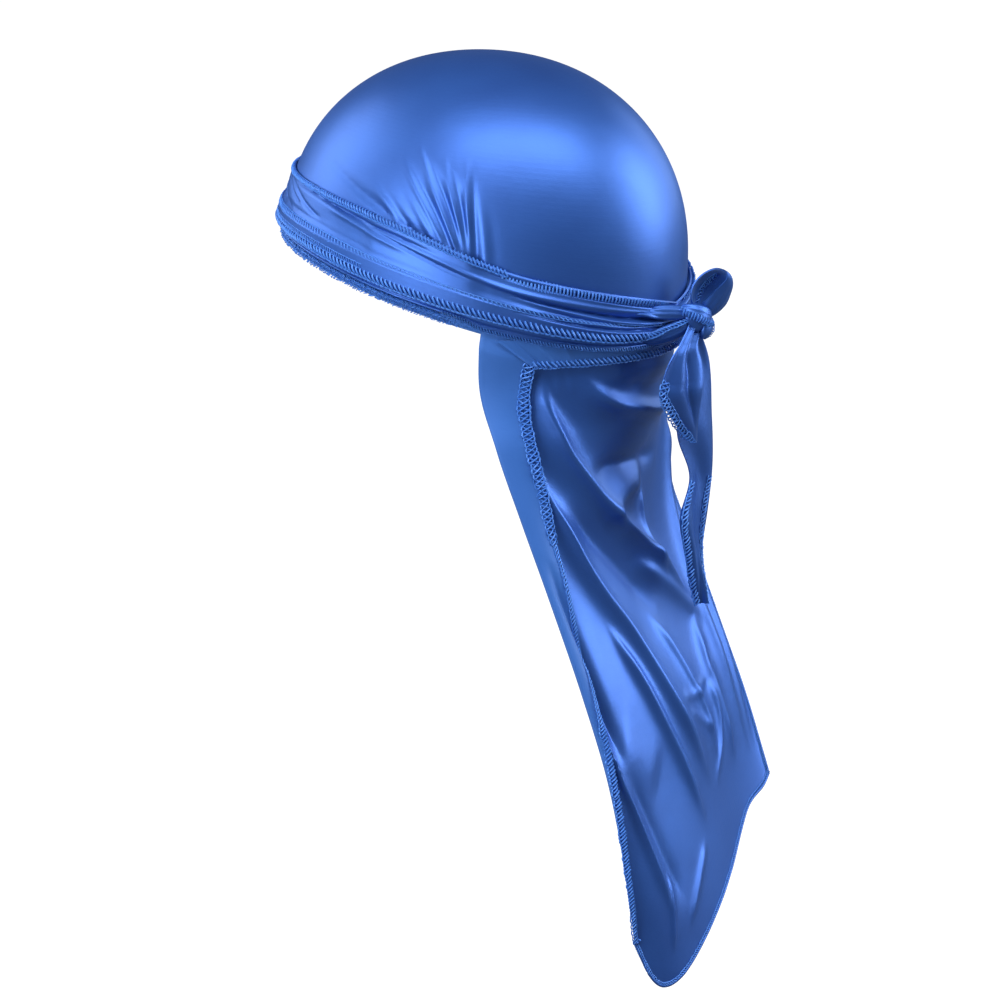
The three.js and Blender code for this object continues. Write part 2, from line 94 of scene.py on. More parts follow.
# Camera, at the photograph's angle to the head
camera = {
    "turn": 28,        # degrees behind the wearer's left side
    "rise": 14,
    "distance": 1900,
    "lens": 145.28,        # on a 36 mm sensor
    "aimAside": 7.1,        # how far the head's middle lies left of the picture's
    "aimDown": 119.6,        # and above it
}


def viewAxes():
    turn, rise = math.radians(camera["turn"]), math.radians(camera["rise"])
    back = Vector((math.cos(turn) * math.cos(rise), math.sin(turn) * math.cos(rise), math.sin(rise)))
    right = Vector((-math.sin(turn), math.cos(turn), 0))
    return right, back.cross(right), back


def placeCamera():
    right, up, back = viewAxes()
    data = bpy.data.cameras.new("studioCamera")
    data.sensor_width, data.lens = 36, camera["lens"]
    data.dof.use_dof = False
    data.clip_end = 60
    seen = bpy.data.objects.new("studioCamera", data)
    bpy.context.scene.collection.objects.link(seen)
    place = (back * camera["distance"] + right * camera["aimAside"] - up * camera["aimDown"]) * mm
    turned = Matrix((right, up, back)).transposed().to_4x4()
    seen.matrix_world = Matrix.Translation(place) @ turned
    bpy.context.scene.camera = seen


placeCamera()
print("camera placed")


# Head form and the levels of the wraps, the same as the solids'
headForm = {"halfWidth": 79, "halfLength": 99, "rise": 92, "fall": 118, "power": 2.14}
layers = {"cloth": 1.0, "clearance": 0.35, "gathered": 1.2, "step": 4, "napeStart": 128, "napeBlend": 12}
hem = {"height": 4.2, "thickness": 2.0, "end": 105, "blend": 8}
wrapLines = {        # from the forehead (0) to the nape (1), as shares of the crown's rise
    "turn": [0.00, 0.17, 0.33, 0.50, 0.67, 0.83, 1.00],
    "top": [0.415, 0.395, 0.350, 0.239, 0.033, -0.087, -0.190],
    "second": [0.232, 0.208, 0.152, 0.022, -0.141, -0.250, -0.270],
    "third": [0.141, 0.120, 0.054, -0.087, -0.223, -0.322, -0.330],
    "rim": [0.076, 0.065, -0.016, -0.152, -0.293, -0.375, -0.391],
}
napeBand = {"level": -0.445, "height": 13}


def formPoint(azimuth, z, offset=0.0):
    # azimuth runs from the forehead over the wearer's left, in degrees
    half = np.where(z > 0, headForm["rise"], headForm["fall"]) + offset
    share = np.maximum(1 - np.abs(z / half) ** headForm["power"], 0) ** (1 / headForm["power"])
    angle = np.radians(azimuth)
    x = (headForm["halfWidth"] + offset) * share * np.sin(angle)
    y = -(headForm["halfLength"] + offset) * share * np.cos(angle)
    return np.stack(np.broadcast_arrays(x, y, z), -1).astype(float)


def aside(azimuth):
    # degrees away from the forehead, the same on both sides
    turned = np.abs(azimuth) % 360
    return np.where(turned > 180, 360 - turned, turned)


def wrapLevel(line, azimuth):
    return headForm["rise"] * along(wrapLines, "turn", line, aside(azimuth) / 180)


def crownEdge(azimuth):
    atHem = wrapLevel("rim", azimuth) + hem["height"] / 2 + layers["clearance"]
    atCape = wrapLevel("third", azimuth) + layers["clearance"]
    return mixed(atHem, atCape, ease(aside(azimuth), hem["end"], hem["end"] + hem["blend"] / 2))


def backing(azimuth):
    start = layers["napeStart"]
    return (layers["cloth"] + layers["clearance"]) * ease(aside(azimuth), start - layers["napeBlend"], start)


# Mesh making
def newMesh(name, places, faces=(), edges=()):
    mesh = bpy.data.meshes.new(name)
    mesh.from_pydata((np.array(places, float) * mm).tolist(), edges, faces)
    mesh.shade_smooth()
    return mesh


def gridFaces(columns, rows, closed):
    a, b = np.meshgrid(np.arange(columns if closed else columns - 1), np.arange(rows - 1), indexing="ij")
    c = (a + 1) % columns
    here, beside = a * rows + b, c * rows + b
    return np.stack([here, here + 1, beside + 1, beside], -1).reshape(-1, 4).tolist()


def gridMesh(name, points, closed=False, pole=None):
    # points is columns by rows; columns run to the left and rows run down, seen from outside
    columns, rows = points.shape[:2]
    places, faces = points.reshape(-1, 3), gridFaces(columns, rows, closed)
    if pole is not None:
        places = np.concatenate([places, [pole]])
        faces += [[columns * rows, k * rows, (k + 1) % columns * rows] for k in range(columns)]
    mesh = newMesh(name, places, faces)
    addCloth(mesh, points, closed, columns * rows)
    return mesh


def addCloth(mesh, points, closed, middle):
    # lays the cloth's own map on the mesh, in metres along its columns and rows
    columns, rows = points.shape[:2]
    around = np.linalg.norm(np.diff(points, axis=0), axis=-1).mean(axis=1)
    down = np.linalg.norm(np.diff(points, axis=1), axis=-1).mean(axis=0)
    u = np.concatenate([[0], np.cumsum(around)]) * mm
    v = np.concatenate([[0], np.cumsum(down)]) * mm
    corners = np.empty(len(mesh.loops), np.int32)
    mesh.loops.foreach_get("vertex_index", corners)
    inGrid = corners < middle
    column = np.where(inGrid, corners // rows, 0)
    row = np.where(inGrid, corners % rows, 0)
    cloth = np.stack([u[column], v[row]], -1)
    if closed:        # the last column of faces closes on to the first points
        sides = np.repeat(np.arange(len(mesh.polygons)), [p.loop_total for p in mesh.polygons])
        last = (sides // (rows - 1) == columns - 1) & (column == 0) & inGrid
        cloth[last, 0] = u[-1] + (u[-1] - u[-2])
    layer = mesh.uv_layers.new(name="cloth")
    layer.data.foreach_set("uv", cloth.astype(np.float32).ravel())


def gridNormals(points, closed=False):
    full = np.concatenate([points[-1:], points, points[:1]]) if closed else points
    sideways, down = np.gradient(full, axis=0), np.gradient(full, axis=1)
    normals = unit(np.cross(down, sideways))
    return normals[1:-1] if closed else normals


def newPiece(name, mesh, *materials):
    piece = bpy.data.objects.new(name, mesh)
    bpy.context.scene.collection.objects.link(piece)
    for material in materials:
        mesh.materials.append(material)
    return piece


def settle(piece, sharp=50):
    # turns the modifiers' result into a plain mesh
    shown = piece.evaluated_get(bpy.context.evaluated_depsgraph_get())
    mesh = bpy.data.meshes.new_from_object(shown)
    piece.modifiers.clear()
    piece.data = mesh
    mesh.set_sharp_from_angle(angle=math.radians(sharp))
    return piece


def clothPiece(name, points, face, reverse, closed=False, pole=None, wall=0.5):
    # a sheet with its outer face at the points and its wall inside them
    piece = newPiece(name, gridMesh(name, points, closed, pole), face, reverse)
    solidify = piece.modifiers.new("wall", "SOLIDIFY")
    solidify.thickness, solidify.offset = wall * mm, -1
    solidify.material_offset = 1
    return settle(piece)


def declare(piece, slot, *nodes):
    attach(piece, "root")
    if nodes:
        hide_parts(*nodes)
    return piece


# Shader groups
def addNode(tree, kind, inputs=None, **settings):
    # a node with its settings; each input is given a value, or the socket that feeds it
    node = tree.nodes.new(kind)
    for setting, value in settings.items():
        setattr(node, setting, value)
    for socket, value in (inputs or {}).items():
        if isinstance(value, bpy.types.NodeSocket):
            tree.links.new(value, node.inputs[socket])
        else:
            node.inputs[socket].default_value = value
    return node


def mathNode(tree, operation, *values):
    return addNode(tree, "ShaderNodeMath", dict(enumerate(values)), operation=operation).outputs[0]


def noiseNode(tree, vector, scale, rough=0.55):
    wanted = {"Detail": 2, "Roughness": rough, "Vector": vector, "Scale": scale}
    return addNode(tree, "ShaderNodeTexNoise", wanted).outputs["Fac"]


def newGroup(name, kind, inputs, outputs):
    tree = bpy.data.node_groups.new(name, kind)
    for label, socket, *value in inputs:
        made = tree.interface.new_socket(label, in_out="INPUT", socket_type="NodeSocket" + socket)
        if value:
            made.default_value = value[0]
    for label, socket in outputs:
        tree.interface.new_socket(label, in_out="OUTPUT", socket_type="NodeSocket" + socket)
    return tree, tree.nodes.new("NodeGroupInput").outputs


def satinWeaveGroup():
    # long floats along the cloth's u and fine threads across them, as a height and a streak mask
    tree, given = newGroup("satinWeave", "ShaderNodeTree",
                           [("Cloth", "Vector"), ("Threads", "Float", 2600), ("Floats", "Float", 420)],
                           [("Height", "Float"), ("Streak", "Float")])
    parts = addNode(tree, "ShaderNodeSeparateXYZ", {0: given["Cloth"]}).outputs
    threads = mathNode(tree, "MULTIPLY", parts["Y"], given["Threads"])
    floats = mathNode(tree, "MULTIPLY", parts["X"], given["Floats"])
    stretched = addNode(tree, "ShaderNodeCombineXYZ", {"X": floats, "Y": threads}).outputs[0]
    streak = noiseNode(tree, stretched, 1.0)
    height = mathNode(tree, "MULTIPLY_ADD", mathNode(tree, "SINE", threads), 0.12, streak)
    addNode(tree, "NodeGroupOutput", {"Height": height, "Streak": streak})
    return tree


def clothCastGroup():
    # slow changes of tone over the cloth, and the small rumples between its folds
    tree, given = newGroup("clothCast", "ShaderNodeTree",
                           [("Place", "Vector"), ("Tone Scale", "Float", 16), ("Rumple Scale", "Float", 70)],
                           [("Tone", "Float"), ("Rumple", "Float")])
    tone = noiseNode(tree, given["Place"], given["Tone Scale"])
    rumple = noiseNode(tree, given["Place"], given["Rumple Scale"], 0.45)
    addNode(tree, "NodeGroupOutput", {"Tone": tone, "Rumple": rumple})
    return tree


weaveGroup = satinWeaveGroup()
castGroup = clothCastGroup()

finishes = {
    "satin": {
        "deep": (0.012, 0.050, 0.26), "mid": (0.036, 0.134, 0.51), "roughness": (0.38, 0.46),
        "weave": 0.34, "rumple": 0.14,
        "shader": {"Metallic": 0.65, "Specular IOR Level": 0.5, "Specular Tint": (0.42, 0.68, 1.0, 1),
                   "Coat Weight": 0.32, "Coat Roughness": 0.42},
    },
    "satinReverse": {
        "deep": (0.020, 0.085, 0.33), "mid": (0.040, 0.145, 0.50), "roughness": (0.50, 0.62),
        "weave": 0.25, "rumple": 0.16,
        "shader": {"Metallic": 0.1, "Specular IOR Level": 0.4, "Specular Tint": (0.6, 0.8, 1.0, 1),
                   "Sheen Weight": 0.25, "Sheen Roughness": 0.45, "Sheen Tint": (0.5, 0.7, 1.0, 1)},
    },
    "overlockThread": {
        "deep": (0.026, 0.105, 0.42), "mid": (0.065, 0.22, 0.70), "roughness": (0.38, 0.5),
        "weave": 0.3, "rumple": 0.2,
        "shader": {"Metallic": 0.1, "Specular IOR Level": 0.6, "Specular Tint": (0.5, 0.75, 1.0, 1),
                   "Sheen Weight": 0.15, "Sheen Roughness": 0.45, "Sheen Tint": (0.5, 0.7, 1.0, 1)},
    },
}


def clothMaterial(name):
    look = finishes[name]
    material = bpy.data.materials.new(name)
    material.use_nodes = True
    tree = material.node_tree
    chart = addNode(tree, "ShaderNodeUVMap", uv_map="cloth").outputs[0]
    place = addNode(tree, "ShaderNodeTexCoord").outputs["Object"]
    weave = addNode(tree, "ShaderNodeGroup", node_tree=weaveGroup)
    cast = addNode(tree, "ShaderNodeGroup", node_tree=castGroup)
    tree.links.new(chart, weave.inputs["Cloth"])
    tree.links.new(place, cast.inputs["Place"])
    tone, rumple = cast.outputs["Tone"], cast.outputs["Rumple"]
    streaked = mathNode(tree, "MULTIPLY_ADD", weave.outputs["Streak"], 0.2,
                        mathNode(tree, "MULTIPLY_ADD", tone, 0.7, 0.15))
    tint = addNode(tree, "ShaderNodeMix", {
        "A": (*look["deep"], 1), "B": (*look["mid"], 1), "Factor": streaked}, data_type="RGBA")
    smooth, rough = look["roughness"]
    rumpled = addNode(tree, "ShaderNodeBump", {
        "Strength": look["rumple"], "Distance": 1.5 * mm, "Height": rumple}).outputs[0]
    woven = addNode(tree, "ShaderNodeBump", {
        "Strength": look["weave"], "Distance": 0.1 * mm, "Height": weave.outputs["Height"],
        "Normal": rumpled})
    shader = tree.nodes["Principled BSDF"]
    tree.links.new(tint.outputs["Result"], shader.inputs["Base Color"])
    tree.links.new(mathNode(tree, "MULTIPLY_ADD", tone, rough - smooth, smooth), shader.inputs["Roughness"])
    tree.links.new(woven.outputs[0], shader.inputs["Normal"])
    for socket, value in look["shader"].items():
        shader.inputs[socket].default_value = value
    return material


satin, satinReverse, overlockThread = (clothMaterial(name) for name in finishes)
print("materials made")


# Overlock stitches
stitchKinds = {
    # strands run x along the edge, y across it and z off the cloth, in millimetres
    "rope": {"pitch": 2.5, "radius": 0.5, "strands": [
        [(-1.5, 1.7, -0.2), (-1.0, 1.0, 0.75), (0.0, 0.0, 1.05), (1.0, -1.0, 0.75), (1.5, -1.8, -0.2)],
        [(1.5, -1.7, 0.1), (0.5, -2.1, 0.3), (-0.6, -2.0, 0.3), (-1.2, -1.7, 0.1)],
    ]},
    "ladder": {"pitch": 2.3, "radius": 0.3, "strands": [
        [(-0.9, 1.5, -0.1), (-0.4, 0.7, 0.35), (0.3, -0.6, 0.4), (0.9, -1.5, -0.1)],
        [(0.9, -1.4, 0.1), (-0.2, -1.7, 0.25), (-1.4, -1.4, 0.1)],
        [(0.9, 1.5, 0.1), (-0.2, 1.7, 0.2), (-1.4, 1.5, 0.1)],
    ]},
    "open": {"pitch": 2.7, "radius": 0.4, "strands": [
        [(-1.3, 2.1, -0.1), (-0.7, 1.0, 0.7), (0.4, -0.8, 0.8), (1.2, -2.2, 0.0)],
        [(1.3, 2.0, -0.1), (0.9, 0.7, 0.5), (-0.3, -0.9, 0.6), (-1.4, -2.1, 0.1)],
        [(-1.4, -2.3, 0.1), (0.0, -2.8, 0.35), (1.4, -2.3, 0.1)],
        [(-1.4, 2.1, 0.1), (0.0, 2.4, 0.35), (1.4, 2.1, 0.1)],
    ]},
    "terry": {"pitch": 0.85, "radius": 0.24, "strands": [
        [(-0.4, -2.0, -0.3), (-0.1, -1.7, 0.5), (0.4, -1.2, -0.1)],
        [(0.3, -0.9, 0.0), (-0.1, -0.4, 0.7), (-0.5, 0.1, 0.0)],
        [(-0.4, 0.5, 0.0), (0.1, 0.9, 0.65), (0.5, 1.3, 0.0)],
        [(0.4, 1.2, -0.1), (0.0, 1.7, 0.4), (-0.4, 2.0, -0.3)],
    ]},
    "ribbed": {"pitch": 1.6, "radius": 0.46, "strands": [
        [(-0.5, 2.5, -0.3), (-0.3, 1.7, 0.6), (0.0, 0.0, 0.95), (0.3, -1.7, 0.6), (0.5, -2.5, -0.3)],
    ]},
}


def tubeParts(line, radius, sides, start=0):
    # vertices and faces of a round strand along a few points
    line = np.array(line, float)
    ahead = unit(np.gradient(line, axis=0))
    side = unit(np.cross(ahead, np.where(np.abs(ahead[:, 2:]) > 0.9, [[1, 0, 0]], [[0, 0, 1]])))
    up = np.cross(side, ahead)
    turns = np.arange(sides) * 2 * math.pi / sides
    ring = side[:, None] * np.cos(turns)[None, :, None] + up[:, None] * np.sin(turns)[None, :, None]
    width = np.broadcast_to(radius, len(line))[:, None, None]
    places = (line[:, None] + ring * width).reshape(-1, 3).tolist()
    k, n = np.meshgrid(np.arange(len(line) - 1), np.arange(sides), indexing="ij")
    here, after, m = start + k * sides, start + (k + 1) * sides, (n + 1) % sides
    faces = np.stack([here + n, after + n, after + m, here + m], -1).reshape(-1, 4).tolist()
    last = start + (len(line) - 1) * sides
    return places, faces + [[start + i for i in range(sides)], [last + i for i in reversed(range(sides))]]


def stitchMesh(kind):
    places, faces = [], []
    for strand in stitchKinds[kind]["strands"]:
        more, rims = tubeParts(strand, stitchKinds[kind]["radius"], 4, len(places))
        places += more
        faces += rims
    return newMesh(kind + "Stitch", places, faces)


def stitchRowTree():
    # instances of one stitch along a path of edges, turned to the cloth under it
    tree, given = newGroup("stitchRow", "GeometryNodeTree",
                           [("Path", "Geometry"), ("Stitch", "Object"), ("Thread", "Material"),
                            ("Pitch", "Float"), ("Size", "Float"), ("Loose", "Float"), ("Uneven", "Float"),
                            ("Seed", "Int")],
                           [("Stitches", "Geometry")])
    curve = addNode(tree, "GeometryNodeMeshToCurve", {0: given["Path"]})
    steps = addNode(tree, "GeometryNodeResampleCurve", {"Curve": curve.outputs[0], "Length": given["Pitch"]},
                    mode="LENGTH")
    facing = addNode(tree, "GeometryNodeInputNamedAttribute", {"Name": "facing"}, data_type="FLOAT_VECTOR")
    breadth = addNode(tree, "GeometryNodeInputNamedAttribute", {"Name": "breadth"}, data_type="FLOAT")
    tangent = addNode(tree, "GeometryNodeInputTangent")
    turned = addNode(tree, "FunctionNodeAxesToRotation", {
        "Primary Axis": tangent.outputs[0], "Secondary Axis": facing.outputs["Attribute"],
    }, primary_axis="X", secondary_axis="Z")
    wobble = addNode(tree, "FunctionNodeRandomValue", {
        "Min": mathNode(tree, "MULTIPLY", given["Loose"], -1), "Max": given["Loose"], "Seed": given["Seed"],
    }, data_type="FLOAT_VECTOR")
    tilt = addNode(tree, "FunctionNodeEulerToRotation", {0: wobble.outputs["Value"]})
    both = addNode(tree, "FunctionNodeRotateRotation", {
        "Rotation": turned.outputs[0], "Rotate By": tilt.outputs[0]}, rotation_space="LOCAL")
    spread = addNode(tree, "FunctionNodeRandomValue", {
        "Min": mathNode(tree, "SUBTRACT", given["Size"], given["Uneven"]),
        "Max": mathNode(tree, "ADD", given["Size"], given["Uneven"]), "Seed": given["Seed"],
    }, data_type="FLOAT")
    length = next(s for s in spread.outputs if s.enabled)
    width = mathNode(tree, "MULTIPLY", length, breadth.outputs["Attribute"])
    scale = addNode(tree, "ShaderNodeCombineXYZ", {"X": length, "Y": width, "Z": width})
    source = addNode(tree, "GeometryNodeObjectInfo", {"Object": given["Stitch"]})
    copies = addNode(tree, "GeometryNodeInstanceOnPoints", {
        "Points": steps.outputs[0], "Instance": source.outputs["Geometry"], "Rotation": both.outputs[0],
        "Scale": scale.outputs[0],
    })
    real = addNode(tree, "GeometryNodeRealizeInstances", {0: copies.outputs[0]})
    painted = addNode(tree, "GeometryNodeSetMaterial", {0: real.outputs[0], "Material": given["Thread"]})
    addNode(tree, "NodeGroupOutput", {0: painted.outputs[0]})
    return tree


rowTree = stitchRowTree()
rowSockets = {s.name: s.identifier for s in rowTree.interface.items_tree if s.in_out == "INPUT"}


def stitchRow(name, path, facing, kind, size, seed, loose=0.08, uneven=0.06, closed=False, breadth=1.0):
    # path and facing are lists of points and of directions off the cloth; breadth may change along them
    count = len(path)
    mesh = newMesh(name, path, edges=[[k, (k + 1) % count] for k in range(count if closed else count - 1)])
    facings = mesh.attributes.new("facing", "FLOAT_VECTOR", "POINT").data
    facings.foreach_set("vector", np.array(facing, np.float32).ravel())
    breadths = mesh.attributes.new("breadth", "FLOAT", "POINT").data
    breadths.foreach_set("value", np.broadcast_to(breadth, count).astype(np.float32))
    row, stitch = newPiece(name, mesh), newPiece(kind + "Sample", stitchMesh(kind))
    nodes = row.modifiers.new("stitches", "NODES")
    nodes.node_group = rowTree
    given = {"Stitch": stitch, "Thread": overlockThread, "Pitch": stitchKinds[kind]["pitch"] * size * mm,
             "Size": size, "Loose": loose, "Uneven": uneven, "Seed": seed}
    for label, value in given.items():
        nodes[rowSockets[label]] = value
    settle(row, 80)
    bpy.data.objects.remove(stitch)
    return declare(row, "overlock_thread")


def bandRow(name, surface, azimuths, share, kind, lift=0.0, **more):
    # a row of stitches along a band's surface, at one share of its height
    pair = (share - 0.02, share) if share > 0.5 else (share, share + 0.02)
    lower, upper = (surface(azimuths, np.full_like(azimuths, level)) for level in pair)
    path = upper if share > 0.5 else lower
    ahead = np.roll(path, -1, 0) - np.roll(path, 1, 0) if more.get("closed") else np.gradient(path, axis=0)
    facing = unit(np.cross(ahead, upper - lower))
    return stitchRow(name, path + facing * lift, facing, kind, **more)


# Crown: one smooth satin dome with small pleats that fan up on each side
crown = {
    "columns": 460, "rows": 84, "wall": 0.5, "denseFrom": 48, "denseTo": 120, "dense": 3.2, "soft": 0.16,
}
crownPleats = {        # each runs up from its foot: places in degrees and millimetres, on both sides
    "footTurn": [88.6, 98.4, 101.2, 105.0, 107.4, 109.2, 89.0, 113.5, 99.8, 94.0],
    "footLevel": [22.0, 17.0, 16.0, 13.0, 11.5, 10.5, 22.5, 8.0, 16.5, 19.5],
    "headTurn": [76.3, 89.1, 86.2, 91.4, 100.6, 107.8, 50.0, 112.0, 87.5, 84.0],
    "headLevel": [40.0, 38.0, 50.0, 55.0, 50.0, 50.0, 49.0, 34.0, 42.0, 36.0],
    "bow": [1.0, 0.6, 1.2, 1.4, 0.4, -0.3, 1.6, 0.2, 0.9, 0.8],
    "height": [0.95, 0.80, 1.50, 1.85, 1.70, 1.45, -1.15, 0.50, 0.25, 0.20],
    "width": [1.4, 1.3, 1.5, 1.6, 1.55, 1.5, 1.1, 2.0, 1.1, 1.2],
    "shade": [0.6, 0.7, 0.8, 0.9, 0.8, 0.7, -0.55, 0.2, 0.4, 0.4],
}
perDegree = math.radians(1) * 84        # millimetres round the crown for each degree


def pleatRelief(azimuth, z):
    turned = aside(azimuth)
    total = np.zeros_like(turned)
    for footTurn, footLevel, headTurn, headLevel, bow, height, width, shade in zip(*crownPleats.values()):
        t = (z - footLevel) / (headLevel - footLevel)
        bowed = 4 * bow * np.clip(t, 0, 1) * (1 - np.clip(t, 0, 1))
        middle = mixed(footTurn, headTurn, np.clip(t, -0.4, 1.3)) + bowed
        slant = (headTurn - footTurn) * perDegree / (headLevel - footLevel)
        off = (turned - middle) * perDegree / math.hypot(1, slant) / width
        fade = ease(t, -0.5, 0.0) * (1 - ease(t, 0.25, 1.12))
        ridge = np.exp(-off ** 2) - shade * np.exp(-((off - 1.7) / 1.1) ** 2)
        total = total + height * fade * ridge
    return total


def crownAzimuths():
    fine = np.linspace(0, 360, 7201)
    turned = aside(fine)
    weight = 1 + (crown["dense"] - 1) * ease(turned, crown["denseFrom"] - 8, crown["denseFrom"] + 4) * (
        1 - ease(turned, crown["denseTo"] - 4, crown["denseTo"] + 8))
    total = np.concatenate([[0], np.cumsum((weight[1:] + weight[:-1]) / 2)])
    return np.interp(np.arange(crown["columns"]) / crown["columns"] * total[-1], total, fine)


def makeCrown():
    azimuth = crownAzimuths()[:, None]
    edge = crownEdge(azimuth)
    half = np.where(edge > 0, headForm["rise"], headForm["fall"])
    last = np.arccos(np.sign(edge) * np.abs(edge / half) ** (headForm["power"] / 2))
    share = np.arange(1, crown["rows"] + 1) / crown["rows"]
    angle = last * (1 - (1 - share[None, :]) ** 1.15)
    level = np.sign(np.cos(angle)) * np.abs(np.cos(angle)) ** (2 / headForm["power"])
    z = level * np.where(level > 0, headForm["rise"], headForm["fall"])
    points = formPoint(azimuth + 0 * z, z)
    normals = gridNormals(points, True)
    across = np.sin(np.radians(azimuth)) * np.sin(angle)
    relief = pleatRelief(azimuth + 0 * z, z)
    relief = relief + crown["soft"] * ripple(across * 4, z / 22, 4) * ease(headForm["rise"] - z, 4, 30)
    points = points + normals * relief[..., None]
    pole = (0, 0, headForm["rise"])
    piece = clothPiece("crownCloth", points, satin, satinReverse, True, pole, crown["wall"])
    return declare(piece, "satin", "crown")


crownCloth = makeCrown()
print("crown made")


# Upper wrap: the outer pass of the ties, with the second edge as a step in it
upperWrap = {"columns": 440, "rows": 66, "wall": 0.5, "stepAtSecond": 0.75, "edgeRound": 0.05}
wrapFolds = {        # they run along the band: degrees, shares of its height, millimetres (minus: a crease)
    "start": [34, 30, 58, 92, 108, 104, 112, 118, 116, 128, 124, 50, 16, 24, 62, 138, 12, 20],
    "end": [100, 60, 112, 150, 180, 180, 180, 180, 180, 180, 180, 128, 60, 48, 92, 180, 36, 44],
    "startShare": [0.90, 0.88, 0.86, 0.74, 0.88, 0.68, 0.60, 0.52, 0.30,
                   0.22, 0.42, 0.50, 0.62, 0.86, 0.78, 0.80, 0.86, 0.70],
    "endShare": [0.80, 0.56, 0.62, 0.56, 0.84, 0.66, 0.46, 0.36, 0.20,
                 0.12, 0.28, 0.46, 0.52, 0.60, 0.66, 0.74, 0.44, 0.40],
    "height": [-1.2, -0.9, -0.7, 0.6, -1.3, 1.2, -1.4, 1.1, -1.2,
               0.8, -0.8, 0.3, 0.3, -0.8, 0.5, 0.7, -0.9, -0.7],
    "width": [0.9, 0.9, 0.8, 1.2, 0.8, 1.5, 0.75, 1.0, 0.8, 0.9, 0.6, 2.2, 2.4, 0.8, 1.1, 0.9, 0.9, 0.9],
}


def wrapRelief(azimuth, share, tall):
    # folds that run along the band; tall is its height in millimetres
    turned = aside(azimuth)
    total = np.zeros_like(turned * share)
    for start, end, first, last, height, width in zip(*wrapFolds.values()):
        t = (turned - start) / (end - start)
        middle = mixed(first, last, ease(t, 0, 1))
        off = (share - middle) * tall / width
        fade = ease(t, -0.02, 0.25) * (1 - ease(t, 0.82, 1.04) * (end < 180))
        total = total + height * fade * np.exp(-np.abs(off) ** 1.7)
    return total


def lowerFace(azimuth):
    return layers["clearance"] + backing(azimuth) + layers["gathered"]


def upperWrapPoint(azimuth, share):
    low, high = wrapLevel("third", azimuth), wrapLevel("top", azimuth)
    z = mixed(low, high, share)
    above = z - wrapLevel("second", azimuth)
    under = 1 - ease(above, layers["clearance"], layers["clearance"] + layers["step"])
    overPleats = 1.0 * ease(1 - np.abs(aside(azimuth) - 95) / 19, 0, 0.3)
    nextToCrown = layers["clearance"] + backing(azimuth) / 2 + overPleats
    base = mixed(nextToCrown, lowerFace(azimuth) + layers["clearance"], under)
    second = upperWrap["stepAtSecond"] * (1 - ease(above, -0.5, 0.4)) * (
        1 - 0.6 * ease(aside(azimuth), 110, 125))
    rounded = ease(share, 0, upperWrap["edgeRound"]) * (1 - ease(share, 1 - upperWrap["edgeRound"], 1))
    thick = mixed(0.55, layers["gathered"], rounded)
    folds = wrapRelief(azimuth, share, high - low) * mixed(0.2, 1, rounded)
    soft = 0.22 * ripple(azimuth / 9, share * 7, 11) * rounded
    return formPoint(azimuth, z, base + thick + second + folds + soft)


def ringOf(count):
    return np.arange(count) * 360 / count


def bandPiece(name, surface, azimuths, rows, closed, face, wall):
    shares = np.linspace(1, 0, rows)
    points = surface(azimuths[:, None] + 0 * shares, shares[None, :] + 0 * azimuths[:, None])
    return clothPiece(name, points, face, satinReverse, closed, wall=wall)


def wrapPiece(name, node, surface, wrap):
    piece = bandPiece(name, surface, ringOf(wrap["columns"]), wrap["rows"], True, satin, wrap["wall"])
    return declare(piece, "satin", node)


upperWrapCloth = wrapPiece("upperWrapCloth", "upper_wrap", upperWrapPoint, upperWrap)


# Lower wrap: two thin pleats show between the upper wrap and the front hem
lowerWrap = {"columns": 380, "rows": 40, "wall": 0.5, "pleats": 2, "pleat": 1.0}


def lowerWrapPoint(azimuth, share):
    low = wrapLevel("rim", azimuth) + (hem["height"] / 2 + layers["clearance"]) * (
        1 - ease(aside(azimuth), hem["end"], hem["end"] + hem["blend"]))
    high = wrapLevel("second", azimuth)
    covered = wrapLevel("third", azimuth) - layers["clearance"]
    z = mixed(low, high, share)
    shown = np.clip((z - low) / (covered - low), 0, 1)
    base = layers["clearance"] + backing(azimuth)
    pleats = np.abs(np.sin(math.pi * lowerWrap["pleats"] * shown)) ** 0.7
    smooth = mixed(0.75, layers["gathered"] - layers["clearance"], ease(shown, 0, 0.15))
    thick = smooth + lowerWrap["pleat"] * pleats * (shown < 1)
    return formPoint(azimuth, z, base + thick + 0.1 * ripple(azimuth / 7, share * 5, 5) * (shown < 1))


lowerWrapCloth = wrapPiece("lowerWrapCloth", "lower_wrap", lowerWrapPoint, lowerWrap)


# Nape wrap: the first pass, smooth, under the other two; its left end folds down into the cape's turned edge
napeWrap = {"columns": 190, "rows": 40, "cornerTurn": 127, "foldTurn": 116, "overEdge": 2.75, "settled": 142}
cornerFolds = {        # slanted folds that meet at the corner: where each ends under the wraps, in degrees
    "foot": [126.5, 130.0, 133.5, 139.0], "head": [116.5, 121.0, 127.0, 135.0],
    "height": [0.8, -0.7, 0.7, 0.4], "width": [1.1, 0.8, 1.2, 1.6],
}


def napeWrapPoint(azimuth, share):
    low = headForm["rise"] * napeBand["level"]
    z = mixed(low, low + napeBand["height"], share) + 0 * azimuth
    settled = ease(azimuth, layers["napeStart"], napeWrap["settled"])
    offset = mixed(napeWrap["overEdge"], layers["clearance"] + layers["cloth"], settled)
    for foot, head, height, width in zip(*cornerFolds.values()):
        middle = mixed(foot, head, share)
        offset = offset + height * np.exp(-((azimuth - middle) * 1.5 / width) ** 2) * (1 - 0.5 * share)
    return formPoint(azimuth, z, offset + 0.15 * ripple(azimuth / 6, share * 3, 8))


